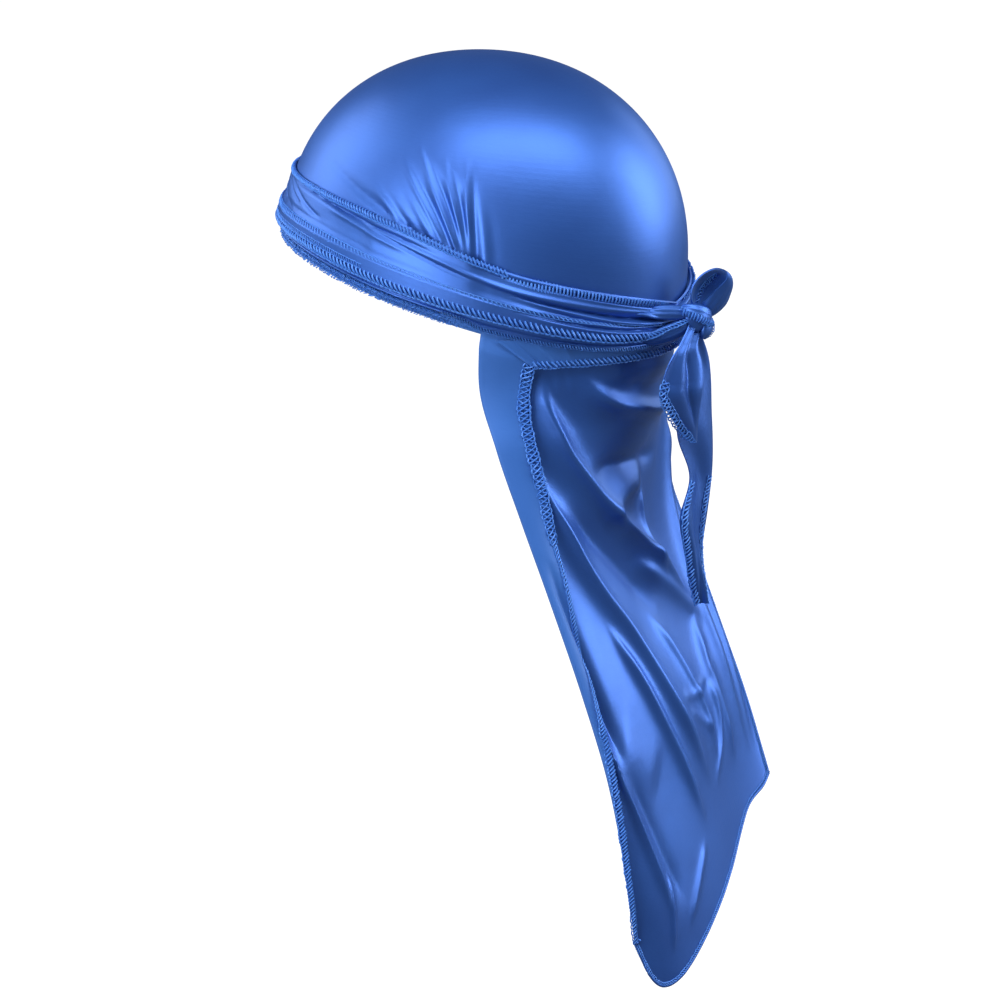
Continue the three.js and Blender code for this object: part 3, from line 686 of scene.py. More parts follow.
def makeNapeWrap():
    share = np.linspace(1, 0, napeWrap["rows"])[None, :]
    run = np.linspace(0, 1, napeWrap["columns"])[:, None] ** 1.25
    start = mixed(napeWrap["cornerTurn"], napeWrap["foldTurn"], share)
    azimuth = mixed(start, 360 - layers["napeStart"], run)
    points = napeWrapPoint(azimuth, share + 0 * azimuth)
    piece = clothPiece("napeWrapCloth", points, satinReverse, satinReverse)
    return declare(piece, "satin_reverse", "nape_wrap")


napeCloth = makeNapeWrap()


# Front hem: a thick roll under a dense overlock
frontHem = {"columns": 260, "rows": 14, "wall": 0.9, "tuckedEnd": 112}


def frontHemPoint(azimuth, share):
    z = wrapLevel("rim", azimuth) + (share - 0.5) * hem["height"]
    bulge = np.sin(math.pi * np.clip(share, 0, 1)) ** 0.6
    return formPoint(azimuth, z, -hem["thickness"] / 2 + mixed(layers["cloth"], hem["thickness"], bulge))


hemAzimuths = np.linspace(-frontHem["tuckedEnd"], frontHem["tuckedEnd"], frontHem["columns"])
frontHemRoll = bandPiece("frontHemRoll", frontHemPoint, hemAzimuths, frontHem["rows"], False, overlockThread,
                         frontHem["wall"])
declare(frontHemRoll, "overlock_thread", "front_hem")
print("wraps made")


# Stitches of the wraps
wrapRing = np.linspace(0, 360, 721)[:-1]
topTurns = np.linspace(-119, 119, 520)
frontTurns = np.linspace(-111, 111, 520)
frontEnds = 111 - np.abs(frontTurns)
rearTurns = np.linspace(hem["end"] - 3, 363 - hem["end"], 420)
napeTurns = np.linspace(napeWrap["cornerTurn"] + 0.5, 360 - layers["napeStart"] - 1, 260)
wrapStitches = [bandRow("stitchesTop", upperWrapPoint, topTurns, 0.965, "rope", 0.1, size=0.76, seed=3,
                        breadth=mixed(0.75, 1, ease(np.abs(topTurns), 40, 75)))]
for k, turns in enumerate([np.linspace(118, 174, 160), np.linspace(186, 242, 160)]):
    fromKnot = np.abs(turns - 180)
    wrapStitches.append(bandRow(
        "stitchesTopWide" + str(k), upperWrapPoint, turns, 0.88, "ribbed", 0.2, size=1.05, seed=31 + k,
        loose=0.1, breadth=mixed(0.45, 1, ease(fromKnot, 62, 50) * ease(fromKnot, 4, 14))))
wrapStitches += [
    bandRow("stitchesSecond", upperWrapPoint, wrapRing, 0.345, "ladder", 0.1, size=0.95, seed=5, closed=True,
            breadth=mixed(0.55, 1, 1 - ease(aside(wrapRing), 62, 90))),
    bandRow("stitchesThird", upperWrapPoint, wrapRing, 0.065, "rope", 0.1, size=0.98, seed=7, closed=True,
            breadth=mixed(0.7, 1, ease(aside(wrapRing), 30, 70))),
    bandRow("stitchesThirdTwin", upperWrapPoint, np.linspace(-78, 78, 360), 0.16, "ladder", 0.05,
            size=0.7, seed=8),
    bandRow("stitchesRim", frontHemPoint, frontTurns, 0.48, "terry", 0.15, size=1.05, loose=0.3, uneven=0.12,
            seed=9, breadth=mixed(0.45, 1, ease(frontEnds, 0, 9))),
    bandRow("stitchesRimInner", frontHemPoint, frontTurns, 0.9, "terry", 0.1, size=0.62, loose=0.3,
            uneven=0.15, seed=10, breadth=mixed(0.4, 1, ease(frontEnds, 2, 10))),
    bandRow("stitchesRimRear", lowerWrapPoint, rearTurns, 0.05, "rope", 0.05, size=0.55, seed=11),
]
napeStitches = bandRow("stitchesNape", napeWrapPoint, napeTurns, 0.10, "rope", 0.15, size=0.9, seed=13)
print("wrap stitches made")


# Cape: the tail that hangs from the nape, with its left edge turned outward
cape = {
    "length": 300, "halfAngle": 70, "settle": 30, "turnGap": 1.5, "tuck": 5, "body": 190, "turned": 22,
    "bend": 8, "rows": 215, "wall": 0.4, "wide": 158, "ropeFrom": 0.36, "fineFrom": 0.08, "fineTo": 0.74,
    "fine": 2.2, "crestWidth": 1.5,
}
capeHang = {
    "drop": [0.00, 0.06, 0.12, 0.22, 0.32, 0.44, 0.58, 0.72, 0.88, 1.00],
    "spread": [0.915, 0.905, 0.895, 0.885, 0.885, 0.885, 0.885, 0.880, 0.840, 0.790],
    "left": [0.335, 0.345, 0.375, 0.455, 0.570, 0.718, 0.885, 1.025, 1.110, 1.140],
    "right": [0.335, 0.345, 0.380, 0.480, 0.610, 0.765, 0.935, 1.105, 1.270, 1.340],
    "middle": [0.950, 0.920, 0.862, 0.802, 0.795, 0.885, 1.050, 1.165, 1.290, 1.360],
}
capeHem = {
    "across": [0.00, 0.05, 0.12, 0.22, 0.38, 0.55, 0.75, 0.92, 1.00],
    "reach": [0.925, 0.975, 1.000, 0.985, 0.935, 0.875, 0.805, 0.790, 0.780],
}
capeTurn = {
    "drop": [0.00, 0.15, 0.30, 0.40, 0.52, 0.64, 0.76, 1.00],
    "share": [0.125, 0.112, 0.120, 0.120, 0.090, 0.055, 0.030, 0.016],
}
def fold(across, drop, height, width, crest, lean=0.0, line=0.0):
    # a ridge, or below 0 a valley, along a line across and down the sheet; height and width in millimetres
    return {"across": across, "drop": drop, "height": height, "width": width, "crest": crest,
            "lean": lean, "line": line}


capeFolds = {
    "longRidge": fold([0.145, 0.155, 0.18, 0.215, 0.28, 0.36, 0.47, 0.58, 0.68, 0.76],
                      [0.03, 0.097, 0.14, 0.18, 0.23, 0.29, 0.363, 0.443, 0.53, 0.59],
                      6.6, 7.5, 0.1, 0.15, 1.0),
    "swag": fold([0.21, 0.25, 0.3, 0.36, 0.44, 0.55, 0.66, 0.78, 0.88, 0.93],
                 [0.02, 0.067, 0.09, 0.11, 0.127, 0.15, 0.158, 0.145, 0.1, 0.05], 5.8, 5.6, 0.24, 0.3),
    "swagHollow": fold([0.36, 0.45, 0.56, 0.68], [0.07, 0.095, 0.108, 0.1], -1.8, 5.0, 0.4),
    "swagUpper": fold([0.37, 0.46, 0.56, 0.66], [0.045, 0.06, 0.066, 0.06], 2.2, 3.0, 0.2),
    "tuckShort": fold([0.315, 0.33, 0.355], [0.02, 0.045, 0.068], 2.0, 2.2, 0.2),
    "gatherA": fold([0.168, 0.175, 0.19], [0.01, 0.053, 0.1], 1.8, 1.8, 0.2),
    "gatherB": fold([0.188, 0.2, 0.225], [0.01, 0.05, 0.095], 1.7, 1.8, 0.2),
    "gatherC": fold([0.27, 0.275, 0.29], [0.01, 0.03, 0.06], 1.4, 1.8, 0.2),
    "bodyBulge": fold([0.33, 0.44, 0.55], [0.305, 0.28, 0.292], 3.8, 8.0, 0.7, -0.3),
    "crossCrease": fold([0.29, 0.36, 0.45, 0.57, 0.68], [0.215, 0.222, 0.232, 0.25, 0.275], -3.4, 5.5, 0.5),
    "secondRidge": fold([0.1, 0.14, 0.18, 0.22, 0.27, 0.33, 0.37, 0.41, 0.46, 0.51, 0.55],
                        [0.19, 0.26, 0.305, 0.36, 0.415, 0.475, 0.54, 0.613, 0.693, 0.77, 0.84],
                        6.2, 8.5, 0.12, -0.25, 0.9),
    "edgeTrough": fold([0.05, 0.075, 0.1, 0.13], [0.36, 0.46, 0.56, 0.66], -3.4, 5.0, 0.4),
    "middleValley": fold([0.2, 0.28, 0.36, 0.44, 0.52], [0.26, 0.32, 0.375, 0.44, 0.52], -2.6, 6.0, 0.4),
    "thirdRidge": fold([0.26, 0.32, 0.36, 0.41, 0.48],
                       [0.46, 0.563, 0.643, 0.73, 0.87], 3.4, 4.0, 0.12, 0.0, 0.5),
    "fourthRidge": fold([0.47, 0.52, 0.56, 0.6, 0.62],
                        [0.5, 0.57, 0.65, 0.74, 0.84], 2.6, 4.0, 0.15, 0.0, 0.5),
    "lowRidge": fold([0.055, 0.07, 0.11, 0.15, 0.19, 0.21],
                     [0.6, 0.673, 0.72, 0.783, 0.857, 0.91], 3.0, 3.6, 0.1, 0.0, 0.5),
    "lowValley": fold([0.14, 0.19, 0.24, 0.29], [0.66, 0.74, 0.83, 0.92], -1.8, 5.0, 0.5),
    "hemRidgeA": fold([0.45, 0.39, 0.28], [0.887, 0.907, 0.947], 1.5, 2.6, 0.2),
    "hemRidgeB": fold([0.23, 0.21, 0.18], [0.84, 0.897, 0.955], 1.5, 2.2, 0.2),
    "lowBulge": fold([0.12, 0.22, 0.31], [0.61, 0.66, 0.71], 1.5, 11.0, 0.7),
    "upperRight": fold([0.45, 0.59, 0.7, 0.78], [0.403, 0.493, 0.575, 0.64], 3.0, 4.5, 0.3),
    "sideRidge": fold([0.72, 0.69, 0.7, 0.72, 0.74], [0.6, 0.68, 0.72, 0.807, 0.9], 3.2, 5.0, 0.2),
    "curl": fold([0.66, 0.68, 0.66, 0.58], [0.7, 0.76, 0.82, 0.86], 1.8, 2.8, 0.2),
    "crinkleA": fold([0.48, 0.56, 0.67], [0.65, 0.68, 0.7], 1.0, 2.0, 0.2),
    "crinkleB": fold([0.49, 0.55, 0.62], [0.68, 0.72, 0.775], 1.0, 2.0, 0.2),
    "rearRight": fold([0.55, 0.545, 0.56, 0.6], [0.29, 0.34, 0.427, 0.48], 2.4, 2.8, 0.15),
    "farRidge": fold([0.94, 0.9, 0.84, 0.8, 0.79, 0.8, 0.83, 0.86],
                     [0.04, 0.12, 0.22, 0.35, 0.5, 0.65, 0.8, 0.93], 5.0, 8.0, 0.15, 0.2),
    "farSecond": fold([0.76, 0.84, 0.88, 0.9, 0.92], [0.2, 0.34, 0.5, 0.7, 0.92], 3.4, 6.0, 0.15),
}


def capeBase(across, drop):
    turn = np.radians(cape["halfAngle"] * (1 - 2 * across))
    azimuth = 180 - np.degrees(turn)
    top = crownEdge(azimuth) - layers["clearance"]
    lowest = wrapLevel("third", np.float64(180)) - cape["length"]
    z = mixed(top, mixed(top, lowest, along(capeHem, "across", "reach", across)), drop)
    napeLow = headForm["rise"] * napeBand["level"]
    seat = formPoint(azimuth, np.maximum(z, napeLow - cape["settle"]), -layers["cloth"] / 2)
    level = np.clip((top - z) / cape["length"], 0, 1)
    spread = headForm["halfWidth"] * along(capeHang, "drop", "spread", level)
    edge = mixed(along(capeHang, "drop", "left", level), along(capeHang, "drop", "right", level), across)
    middle = along(capeHang, "drop", "middle", level)
    side = math.cos(math.radians(cape["halfAngle"]))
    x = spread * np.sin(turn) / math.sin(math.radians(cape["halfAngle"]))
    y = headForm["halfLength"] * mixed(edge, middle, (np.cos(turn) - side) / (1 - side))
    loose = ease(napeLow - z, -8, cape["settle"] + 10)
    return np.stack([mixed(seat[..., 0], x, loose), mixed(seat[..., 1], y, loose), z], -1)


def capeNormal(across, drop):
    step = 0.004
    here = capeBase(across, drop)
    return unit(np.cross(capeBase(across, drop + step) - here, capeBase(across + step, drop) - here))


def smoothLine(across, drop, count=40):
    # a smooth line through a fold's places, in millimetres of cloth
    table = {"step": range(len(across)), "across": across, "drop": drop}
    steps = np.linspace(0, len(across) - 1, count)
    sizes = {"across": cape["wide"], "drop": cape["length"]}
    return np.stack([along(table, "step", way, steps) * size for way, size in sizes.items()], -1)


def foldRelief(across, drop):
    place = np.stack(np.broadcast_arrays(across * cape["wide"], drop * cape["length"]), -1)
    total = np.zeros(place.shape[:-1])
    for one in capeFolds.values():
        line = smoothLine(one["across"], one["drop"])
        steps = np.diff(line, axis=0)
        run = np.concatenate([[0], np.cumsum(np.linalg.norm(steps, axis=1))])
        nearest, share, side = np.full(total.shape, 1e9), np.zeros(total.shape), np.zeros(total.shape)
        for k, step in enumerate(steps):
            off = place - line[k]
            t = np.clip((off @ step) / (step @ step), 0, 1)
            distance = np.linalg.norm(off - t[..., None] * step, axis=-1)
            closer = distance < nearest
            nearest = np.where(closer, distance, nearest)
            share = np.where(closer, (run[k] + t * (run[k + 1] - run[k])) / run[-1], share)
            side = np.where(closer, np.sign(step[0] * off[..., 1] - step[1] * off[..., 0]), side)
        width = one["width"] * (1 + one["lean"] * side)
        profile = np.exp(1.5 * (one["crest"] - np.sqrt((nearest / width) ** 2 + one["crest"] ** 2)))
        profile = profile * ease(np.exp(-(nearest / width / 3.2) ** 2), 0, 0.5)
        crease = one["line"] * np.exp(-(nearest / cape["crestWidth"]) ** 2)
        fade = ease(share, -0.03, 0.22) * (1 - ease(share, 0.72, 1.02))
        total = total + (one["height"] * profile + crease) * fade
    return total


def capePoint(across, drop, lift=0.0):
    point = capeBase(across, drop)
    loose = ease(headForm["rise"] * napeBand["level"] - point[..., 2], -1, cape["settle"] * 0.6)
    wave = 0.5 * ripple(across * 14, drop * 16, 27) + 0.9 * ripple(across * 5, drop * 6, 28)
    rise = (foldRelief(across, drop) + wave) * loose * ease(across, -0.04, 0.08) + lift
    return point + capeNormal(across, drop) * rise[..., None]


def turnStart():
    azimuth = np.float64(180 - cape["halfAngle"])
    covered = crownEdge(azimuth) - wrapLevel("rim", azimuth) + layers["clearance"]
    return (covered - cape["tuck"]) / (cape["length"] * along(capeHem, "across", "reach", np.float64(0)))


def capeSheet():
    # columns from the raw edge of the turned part, round the outward fold, to the right edge
    drop = np.linspace(0, 1, cape["rows"]) ** 1.05
    lower = mixed(turnStart(), 1, drop)
    tucked = ease((lower - turnStart()) * cape["length"], cape["tuck"] - 1, cape["tuck"] + 9)
    lift = mixed(1.3, 2 * cape["turnGap"], tucked) * (1 - 0.5 * ease(drop, 0.94, 1))
    wavy = 1 + 0.05 * ripple(drop * 22, 0 * drop, 41)
    start = 0.017 * (1 - ease(lower, 0.04, 0.24))
    startBody = 0.017 * (1 - ease(drop, 0.04, 0.24))
    columns = []
    turnedShare = along(capeTurn, "drop", "share", lower)
    room = tucked * ease(turnedShare * cape["wide"], 3, 19)
    reach = along(capeHem, "across", "reach", start)
    for share in np.linspace(1, 0.04, cape["turned"]):
        across = mixed(start, turnedShare * mixed(1, wavy, share), share)
        soft = room * math.sin(math.pi * share) * (0.7 + 0.9 * ripple(drop * 9, share * 2.5, 43))
        # the turned edge ends level with the hem's corner
        level = lower * reach / along(capeHem, "across", "reach", across)
        columns.append(capePoint(across, level, lift + soft + 0.8 * tucked * (1 - room) * share))
    edge = capePoint(start, lower)
    normal = capeNormal(start, lower)
    forward = unit(edge - capePoint(start + 0.02, lower))
    half = (lift / 2)[:, None]
    for k in range(cape["bend"] - 1, 0, -1):
        angle = math.pi * k / cape["bend"]
        columns.append(edge + half * normal * (1 - math.cos(angle)) + half * forward * math.sin(angle))
    even = np.linspace(0, 1, 2001)
    weight = 1 + (cape["fine"] - 1) * ease(even, cape["fineFrom"] - 0.06, cape["fineFrom"]) * (
        1 - ease(even, cape["fineTo"], cape["fineTo"] + 0.06))
    places = np.interp(np.linspace(0, 1, cape["body"]), np.cumsum(weight) / weight.sum(), even)
    places[0] = 0
    for share in places:
        columns.append(capePoint(mixed(startBody, 1, share), drop))
    return np.array(columns)


def smoothed(points, first):
    # evens out the sheet's columns from the first one on, with its outline left as it is
    body = points[first:]
    inner = (body[:-2] + 2 * body[1:-1] + body[2:]) / 4
    inner[:, 1:-1] = (inner[:, :-2] + 2 * inner[:, 1:-1] + inner[:, 2:]) / 4
    return np.concatenate([points[:first + 1], inner, points[-1:]])


def makeCape():
    points = smoothed(capeSheet(), cape["turned"] + cape["bend"] - 1)
    points = points + gridNormals(points) * (layers["cloth"] / 2)
    piece = clothPiece("capeCloth", points, satin, satinReverse, wall=cape["wall"])
    return declare(piece, "satin", "cape"), points


capeCloth, capePoints = makeCape()
print("cape made")


def rolledHem(name, path, radius, seed):
    # a narrow rolled edge, a little uneven
    at = np.arange(len(path))
    uneven = 1 + 0.22 * ripple(at / 3.0, at / 17.0, seed)
    mesh = newMesh(name, *tubeParts(path, radius * uneven, 8))
    mesh.uv_layers.new(name="cloth")
    return declare(newPiece(name, mesh, satin), "satin")


turnedBreadth = {
    "drop": [0, 0.25, 0.42, 0.58, 0.72, 0.84, 1.0], "size": [1.2, 1.15, 0.9, 0.85, 1.3, 1.2, 0.8],
}


def capeEdges():
    normals = gridNormals(capePoints)
    corner = int(np.argmin(np.abs(capePoints[0, :, 2] - headForm["rise"] * napeBand["level"])))
    drop = np.linspace(0, 1, cape["rows"])[corner:]
    breadth = along(turnedBreadth, "drop", "size", drop)
    facing = -normals[0][corner:]
    inward = unit(capePoints[1] - capePoints[0])
    line = (capePoints[0] + inward * 1.5)[corner:] + facing * (cape["wall"] + 0.1)
    upper = int(np.searchsorted(drop, cape["ropeFrom"]))
    bottom, bottomIn = capePoints[:, -1], unit(capePoints[:, -2] - capePoints[:, -1])
    right, rightIn = capePoints[-1], unit(capePoints[-2] - capePoints[-1])
    return [
        stitchRow("stitchesTurned", line[:upper + 1], facing[:upper + 1], "open", 0.9, 17,
                  loose=0.14, uneven=0.1, breadth=breadth[:upper + 1]),
        stitchRow("stitchesTurnedLow", line[upper:], facing[upper:], "rope", 0.68, 18,
                  loose=0.1, uneven=0.1, breadth=breadth[upper:]),
        stitchRow("stitchesBottom", (bottom + bottomIn * 0.6)[::-1], normals[:, -1][::-1], "rope", 0.5, 19),
        stitchRow("stitchesRight", right + rightIn * 0.6, normals[-1], "rope", 0.5, 23),
        rolledHem("hemBottom", bottom, 0.75, 47),
        rolledHem("hemRight", right, 0.65, 48),
    ]


capeStitches = capeEdges()
print("cape stitches made")


# Knot, loop and tie ends
knot = {"depth": 13, "height": 21, "drop": 24, "twist": 1.6}
wrapOuter = lowerFace(np.float64(180)) + layers["clearance"] + layers["gathered"] + 0.5
knotSeat = wrapOuter + layers["clearance"] + knot["depth"] / 2 - knot["twist"] / 2
knotCentre = formPoint(np.float64(180), np.float64(-knot["drop"]), knotSeat)
tuckPleats = {"pleats": 4, "pleat": 0.6, "edge": 14, "stitch": "rope", "size": 0.66}
knotParts = {        # rolls of cloth along their middle lines, from the knot's middle, in millimetres
    "knotCore": {
        "line": [(-5, -1, -6), (-3, 0.5, -3), (0, 1.5, 0), (3, 0.5, 3), (5, -1, 6)],
        "wide": [3.0, 6.0, 7.0, 6.0, 3.0], "thick": [2.5, 4.6, 5.2, 4.6, 2.5], "pleats": 5, "pleat": 0.5,
    },
    "knotBand": {
        "line": [(7.5, -3.5, 5.5), (6.5, 2, 4.4), (3.0, 5.6, 2.6), (-1.5, 6.4, 0.2), (-5.5, 4.2, -2.2),
                 (-8, -2.5, -4.2)],
        "wide": [2.6, 3.6, 4.3, 4.4, 3.8, 2.4], "thick": [1.3, 1.6, 1.8, 1.8, 1.6, 1.2],
        "pleats": 4, "pleat": 0.5, "edge": 5, "stitch": "ribbed", "size": 0.85,
    },
    "knotLobe": {
        "line": [(-6.5, 3.0, 3.0), (-4.5, 5.2, -1.5), (-2.5, 5.6, -6.0), (-1.5, 3.6, -10.0)],
        "wide": [2.0, 4.0, 4.6, 2.4], "thick": [1.3, 2.2, 2.4, 1.2],
        "pleats": 3, "pleat": 0.5, "edge": 15, "stitch": "rope", "size": 0.5,
    },
    "knotTuckLeft": {
        "line": [(28, -18.5, -6.6), (21, -11.4, -7.0), (14, -6.4, -5.8), (8, -2.4, -3.6),
                 (2, 1.0, -0.4)],
        "wide": [2.6, 4.0, 4.4, 4.2, 3.0], "thick": [1.0, 1.5, 2.0, 2.4, 2.0], **tuckPleats,
    },
    "knotTuckRight": {
        "line": [(-28, -18.5, -6.0), (-21, -11.4, -6.4), (-14, -6.4, -5.0), (-8, -2.4, -3.0),
                 (-2, 1.0, -0.4)],
        "wide": [2.6, 3.8, 4.2, 4.0, 3.0], "thick": [1.0, 1.5, 2.0, 2.3, 2.0], **tuckPleats,
    },
    "knotTuckTop": {
        "line": [(30, -16.0, 4.6), (20, -9.8, 4.8), (12, -4.6, 4.0), (5, 0.2, 2.6)],
        "wide": [1.8, 3.0, 3.4, 2.8], "thick": [0.8, 1.3, 1.9, 1.9], "pleats": 3, "pleat": 0.5,
    },
}
gatheredHold = {"loose": 0.15, "uneven": 0.1}        # how the stitches of the knot, loop and ties lie


def clothRoll(name, part, sides=36, steps=46):
    # a flattened roll of gathered cloth along a smooth line, closed at both ends
    count = len(part["line"])
    table = {"step": range(count), "wide": part["wide"], "thick": part["thick"]}
    table.update(zip("xyz", zip(*part["line"])))
    at = np.linspace(0, count - 1, steps)
    line = np.stack([along(table, "step", k, at) for k in "xyz"], -1)
    ahead = unit(np.gradient(line, axis=0))
    out = unit(line * [0.4, 1, 0.25] + [0, 7, 0])
    out = unit(out - ahead * np.sum(out * ahead, -1, keepdims=True))
    sideways = np.cross(ahead, out)
    tip = np.sqrt(np.clip(1 - (2 * np.linspace(0, 1, steps) - 1) ** 8, 0.0004, 1))
    turn = np.arange(sides)[:, None] / sides * 2 * math.pi
    wave = np.abs(np.sin(part["pleats"] * np.cos(turn) * 1.57 + 0.8 * at / count)) ** 0.7 - 0.5
    wide = along(table, "step", "wide", at) * tip * np.cos(turn)
    thick = (along(table, "step", "thick", at) + part["pleat"] * wave) * tip * np.sin(turn)
    points = line + sideways * wide[..., None] + out * thick[..., None] + knotCentre
    lids = [[k * steps for k in range(sides)], [k * steps + steps - 1 for k in reversed(range(sides))]]
    mesh = newMesh(name, points.reshape(-1, 3), gridFaces(sides, steps, True) + lids)
    corners = np.empty(len(mesh.loops), np.int32)
    mesh.loops.foreach_get("vertex_index", corners)
    across = np.stack([corners // steps * 0.8, corners % steps * 0.6], -1) * mm
    mesh.uv_layers.new(name="cloth").data.foreach_set("uv", across.astype(np.float32).ravel())
    declare(newPiece(name, mesh, satin), "satin", *(["knot"] if name == "knotCore" else []))
    return points, out


for name, part in knotParts.items():
    points, out = clothRoll(name, part)
    if "edge" in part:
        edge, crest = points[part["edge"]], points[len(points) // 4]
        facing = unit(edge - (crest - out * 2))
        stitchRow(name + "Stitches", edge[3:-3], facing[3:-3], part["stitch"], part["size"], 51,
                  **gatheredHold)

bowLoop = {
    "turn": 28, "steps": 130, "sides": 30, "wall": 0.7, "bulge": 1.3, "gathers": 0.35, "stitched": (8, 52),
}
bowRims = {        # round the opening, in millimetres backward, up and outward from the knot's middle
    "step": [0, 1, 2, 3, 4, 5, 6, 7, 8, 9],
    "nearBack": [2.4, -1.4, -0.9, 3.3, 9.4, 14.6, 15.1, 9.9, 4.7, 2.4],
    "nearUp": [3.4, 8.7, 15.4, 21.1, 24.1, 22.7, 18.8, 13.3, 7.5, 3.4],
    "nearOut": [2.0, 4.0, 5.0, 5.0, 5.0, 5.0, 5.0, 4.5, 3.0, 2.0],
    "farBack": [4.2, 6.5, 9.5, 13.0, 15.6, 17.7, 17.9, 15.1, 9.0, 4.2],
    "farUp": [1.5, 5.2, 10.6, 14.0, 16.4, 15.2, 11.4, 4.9, -0.1, 1.5],
    "farOut": [-2.0, -4.0, -5.0, -5.0, -5.0, -5.0, -5.0, -4.0, -2.5, -2.0],
}


def bowSheet():
    # a band of cloth from the far rim to the near one, which stands up and shows its inside
    turn, last = math.radians(bowLoop["turn"]), bowRims["step"][-1]
    axes = np.array([(-math.sin(turn), math.cos(turn), 0), (0, 0, 1), (math.cos(turn), math.sin(turn), 0)])
    at = np.arange(bowLoop["steps"]) / bowLoop["steps"] * last
    near, far = (
        np.stack([along(bowRims, "step", rim + way, at) for way in ("Back", "Up", "Out")], -1) @ axes
        for rim in ("near", "far"))
    share = np.linspace(0, 1, bowLoop["sides"])[None, :, None]
    place = knotCentre + mixed(far[:, None], near[:, None], share)
    base = np.exp(-np.minimum(at, last - at) / 1.4)[:, None, None]
    gathers = bowLoop["gathers"] * base * np.sin(share * 19 + 3 * at[:, None, None])
    bulge = bowLoop["bulge"] * (1 - (2 * share - 1) ** 2) + gathers
    return place + gridNormals(place, True) * bulge


bowPoints = bowSheet()
bowLoopCloth = clothPiece("bowLoopCloth", bowPoints, satin, satinReverse, True, wall=bowLoop["wall"])
declare(bowLoopCloth, "satin", "bow_loop")
stitched = slice(*bowLoop["stitched"])
bowInside = -gridNormals(bowPoints, True)[stitched, bowLoop["sides"] // 2]
bowLine = bowPoints[stitched, bowLoop["sides"] // 2] + bowInside * bowLoop["wall"]
stitchRow("stitchesLoop", bowLine, bowInside, "open", 0.62, 61, **gatheredHold)

tie = {"width": 32, "bow": 1.5, "apart": 4, "wall": 0.6, "sides": 48, "pinch": 0.55}
tieEnds = {
    "tieShort": {
        "node": "tie_end_short", "length": 47, "side": 1, "rows": 90,
        "drop": [0.00, 0.18, 0.34, 0.46, 0.62, 0.76, 0.90, 1.00],
        "shift": [0.34, 0.42, 0.48, 0.53, 0.44, 0.34, 0.18, 0.05],
        "width": [0.51, 0.66, 0.74, 0.76, 0.60, 0.43, 0.24, 0.09],
        "turn": [-8, -18, -24, -26, -26, -26, -26, -26],
        "stitched": (42, 89), "edges": [(4, "open", 0.85)],
    },
    "tieLong": {
        "node": "tie_end_long", "length": 130, "side": -1, "rows": 170,
        "drop": [0.00, 0.12, 0.32, 0.50, 0.64, 0.80, 1.00],
        "shift": [-0.22, -0.32, -0.23, -0.36, -0.18, -0.29, -0.55],
        "width": [0.40, 0.60, 0.90, 0.56, 0.68, 0.40, 0.20],
        "turn": [0, -4, -8, -10, -12, -16, -20],
        "stitched": (96, 169), "edges": [(5, "rope", 0.8), (-6, "rope", 0.72)],
    },
}


def tieSheet(name, end):
    # each strip starts inside the knot, where it is pinched into gathers that open out below
    drop = np.linspace(-12 / end["length"], 1, end["rows"])[None, :]
    shown, below = np.clip(drop, 0, 1), drop * end["length"]
    side = np.linspace(1, -1, tie["sides"])[:, None]
    turn = np.radians(along(end, "drop", "turn", shown))
    pinched = mixed(tie["pinch"], 1, ease(below, -12, 10))
    half = tie["width"] / 2 * along(end, "drop", "width", shown) * pinched
    top = knotCentre[2] - knot["height"] / 2 - layers["clearance"]
    outward = np.stack(np.broadcast_arrays(-np.sin(turn), np.cos(turn), 0 * turn), -1)
    across = np.stack(np.broadcast_arrays(np.cos(turn), np.sin(turn), 0 * turn), -1)
    inside = 1 - ease(below, -10, 4)
    sideways = tie["width"] * along(end, "drop", "shift", shown) * (1 - 0.8 * inside)
    backward = knotCentre[1] + end["side"] * tie["apart"] / 2 * (1 - 0.5 * inside) + 1.5 * inside
    middle = np.stack(np.broadcast_arrays(sideways, backward, top - end["length"] * drop), -1)
    bow = tie["bow"] * (1 - side ** 2) * np.minimum(1, 3 * shown)
    folds = 0.9 * np.sin(side * 5.5 + 1.5 * drop) * (1 - ease(below, 5, 42))
    if name == "tieLong":
        groove = 2.4 * np.exp(-(side / 0.35) ** 2) * ease(drop, 0.62, 0.8)
        folds = folds + 1.6 * np.sin(side * 3.0 + 9 * drop) * ease(drop, 0.15, 0.5) - groove
    else:
        crease = 1.6 * np.exp(-((side + 0.15 + 0.5 * drop) / 0.18) ** 2) * ease(drop, 0.0, 0.2)
        folds = folds - crease * (1 - ease(drop, 0.5, 0.9))
    folds = folds + 0.35 * ripple(side * 3, drop * 9, 21)
    lift = bow + folds + layers["cloth"] / 2
    return middle + across * (side * half)[..., None] + outward * lift[..., None]


for name, end in tieEnds.items():
    points = tieSheet(name, end)
    cloth = clothPiece(name + "Cloth", points, satin, satinReverse, wall=tie["wall"])
    declare(cloth, "satin", end["node"])
    normals, stitched = gridNormals(points), slice(*end["stitched"])
    for k, (row, kind, size) in enumerate(end["edges"]):
        stitchRow(name + "Stitches" + str(k), points[row, stitched], normals[row, stitched], kind, size,
                  71 + k, **gatheredHold)
print("knot and ties made")


# Floor and light
studio = {"floorDrop": 30, "floorSize": 24000, "floorTone": 0.14, "world": 0.13, "backdrop": 0.95}


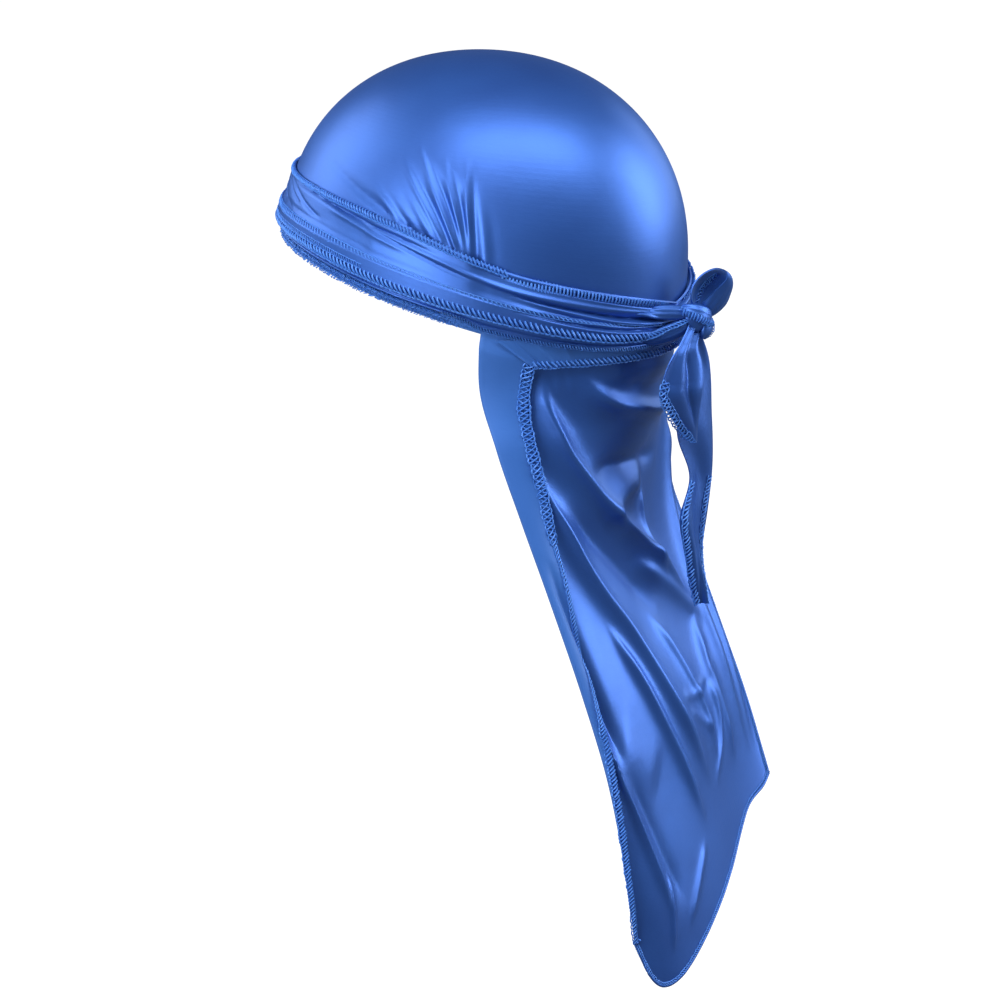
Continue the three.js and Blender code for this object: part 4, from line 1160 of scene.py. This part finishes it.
def softLight(name, place, size, power):
    # an area light placed from the head to the right, up and back along the camera's axes, in metres
    right, up, back = viewAxes()
    data = bpy.data.lights.new(name, "AREA")
    data.shape, data.size, data.size_y, data.energy = "RECTANGLE", *size, power
    light = bpy.data.objects.new(name, data)
    bpy.context.scene.collection.objects.link(light)
    light.visible_camera = False
    light.location = right * place[0] + up * place[1] + back * place[2]
    light.rotation_mode = "QUATERNION"
    light.rotation_quaternion = (Vector((0, 0.03, -0.06)) - light.location).to_track_quat("-Z", "Y")


def makeFloor():
    # a pale floor that the camera sees as white and that throws little light back up
    half = studio["floorSize"] / 2
    level = min(cadBox[0][2], cadBox[1][2]) / mm - studio["floorDrop"]
    corners = [(-half, -half, level), (half, -half, level), (half, half, level), (-half, half, level)]
    paint = bpy.data.materials.new("paleFloor")
    paint.use_nodes = True
    tree = paint.node_tree
    shader = tree.nodes["Principled BSDF"]
    shader.inputs["Base Color"].default_value = (studio["floorTone"],) * 3 + (1,)
    shader.inputs["Roughness"].default_value = 0.9
    shader.inputs["Emission Color"].default_value = (1, 1, 1, 1)
    seen = addNode(tree, "ShaderNodeLightPath").outputs["Is Camera Ray"]
    tree.links.new(seen, shader.inputs["Emission Strength"])
    newPiece("floor", newMesh("floor", corners, [[0, 1, 2, 3]]), paint)


def makeWorld():
    # a dim room, with a bright backdrop for what the camera sees directly
    world = bpy.data.worlds.new("studioWorld")
    world.use_nodes = True
    tree = world.node_tree
    backdrop = tree.nodes["Background"]
    backdrop.inputs["Color"].default_value = (1, 1, 1, 1)
    seen = addNode(tree, "ShaderNodeLightPath").outputs["Is Camera Ray"]
    strength = mathNode(tree, "MULTIPLY_ADD", seen, studio["backdrop"] - studio["world"], studio["world"])
    tree.links.new(strength, backdrop.inputs["Strength"])
    bpy.context.scene.world = world


makeFloor()
makeWorld()
softLight("keyAbove", (0.15, 1.38, 1.30), (2.4, 0.9), 46)
softLight("rightUpper", (1.75, 0.60, 0.05), (1.0, 1.3), 27)
softLight("rightSide", (1.60, 0.80, -1.05), (1.5, 1.1), 10)
softLight("faceSide", (-1.7, 0.85, -0.45), (1.4, 1.4), 22)
softLight("leftFront", (-1.35, -0.30, 1.25), (1.0, 2.0), 46)
bpy.context.scene.view_settings.view_transform = "Standard"
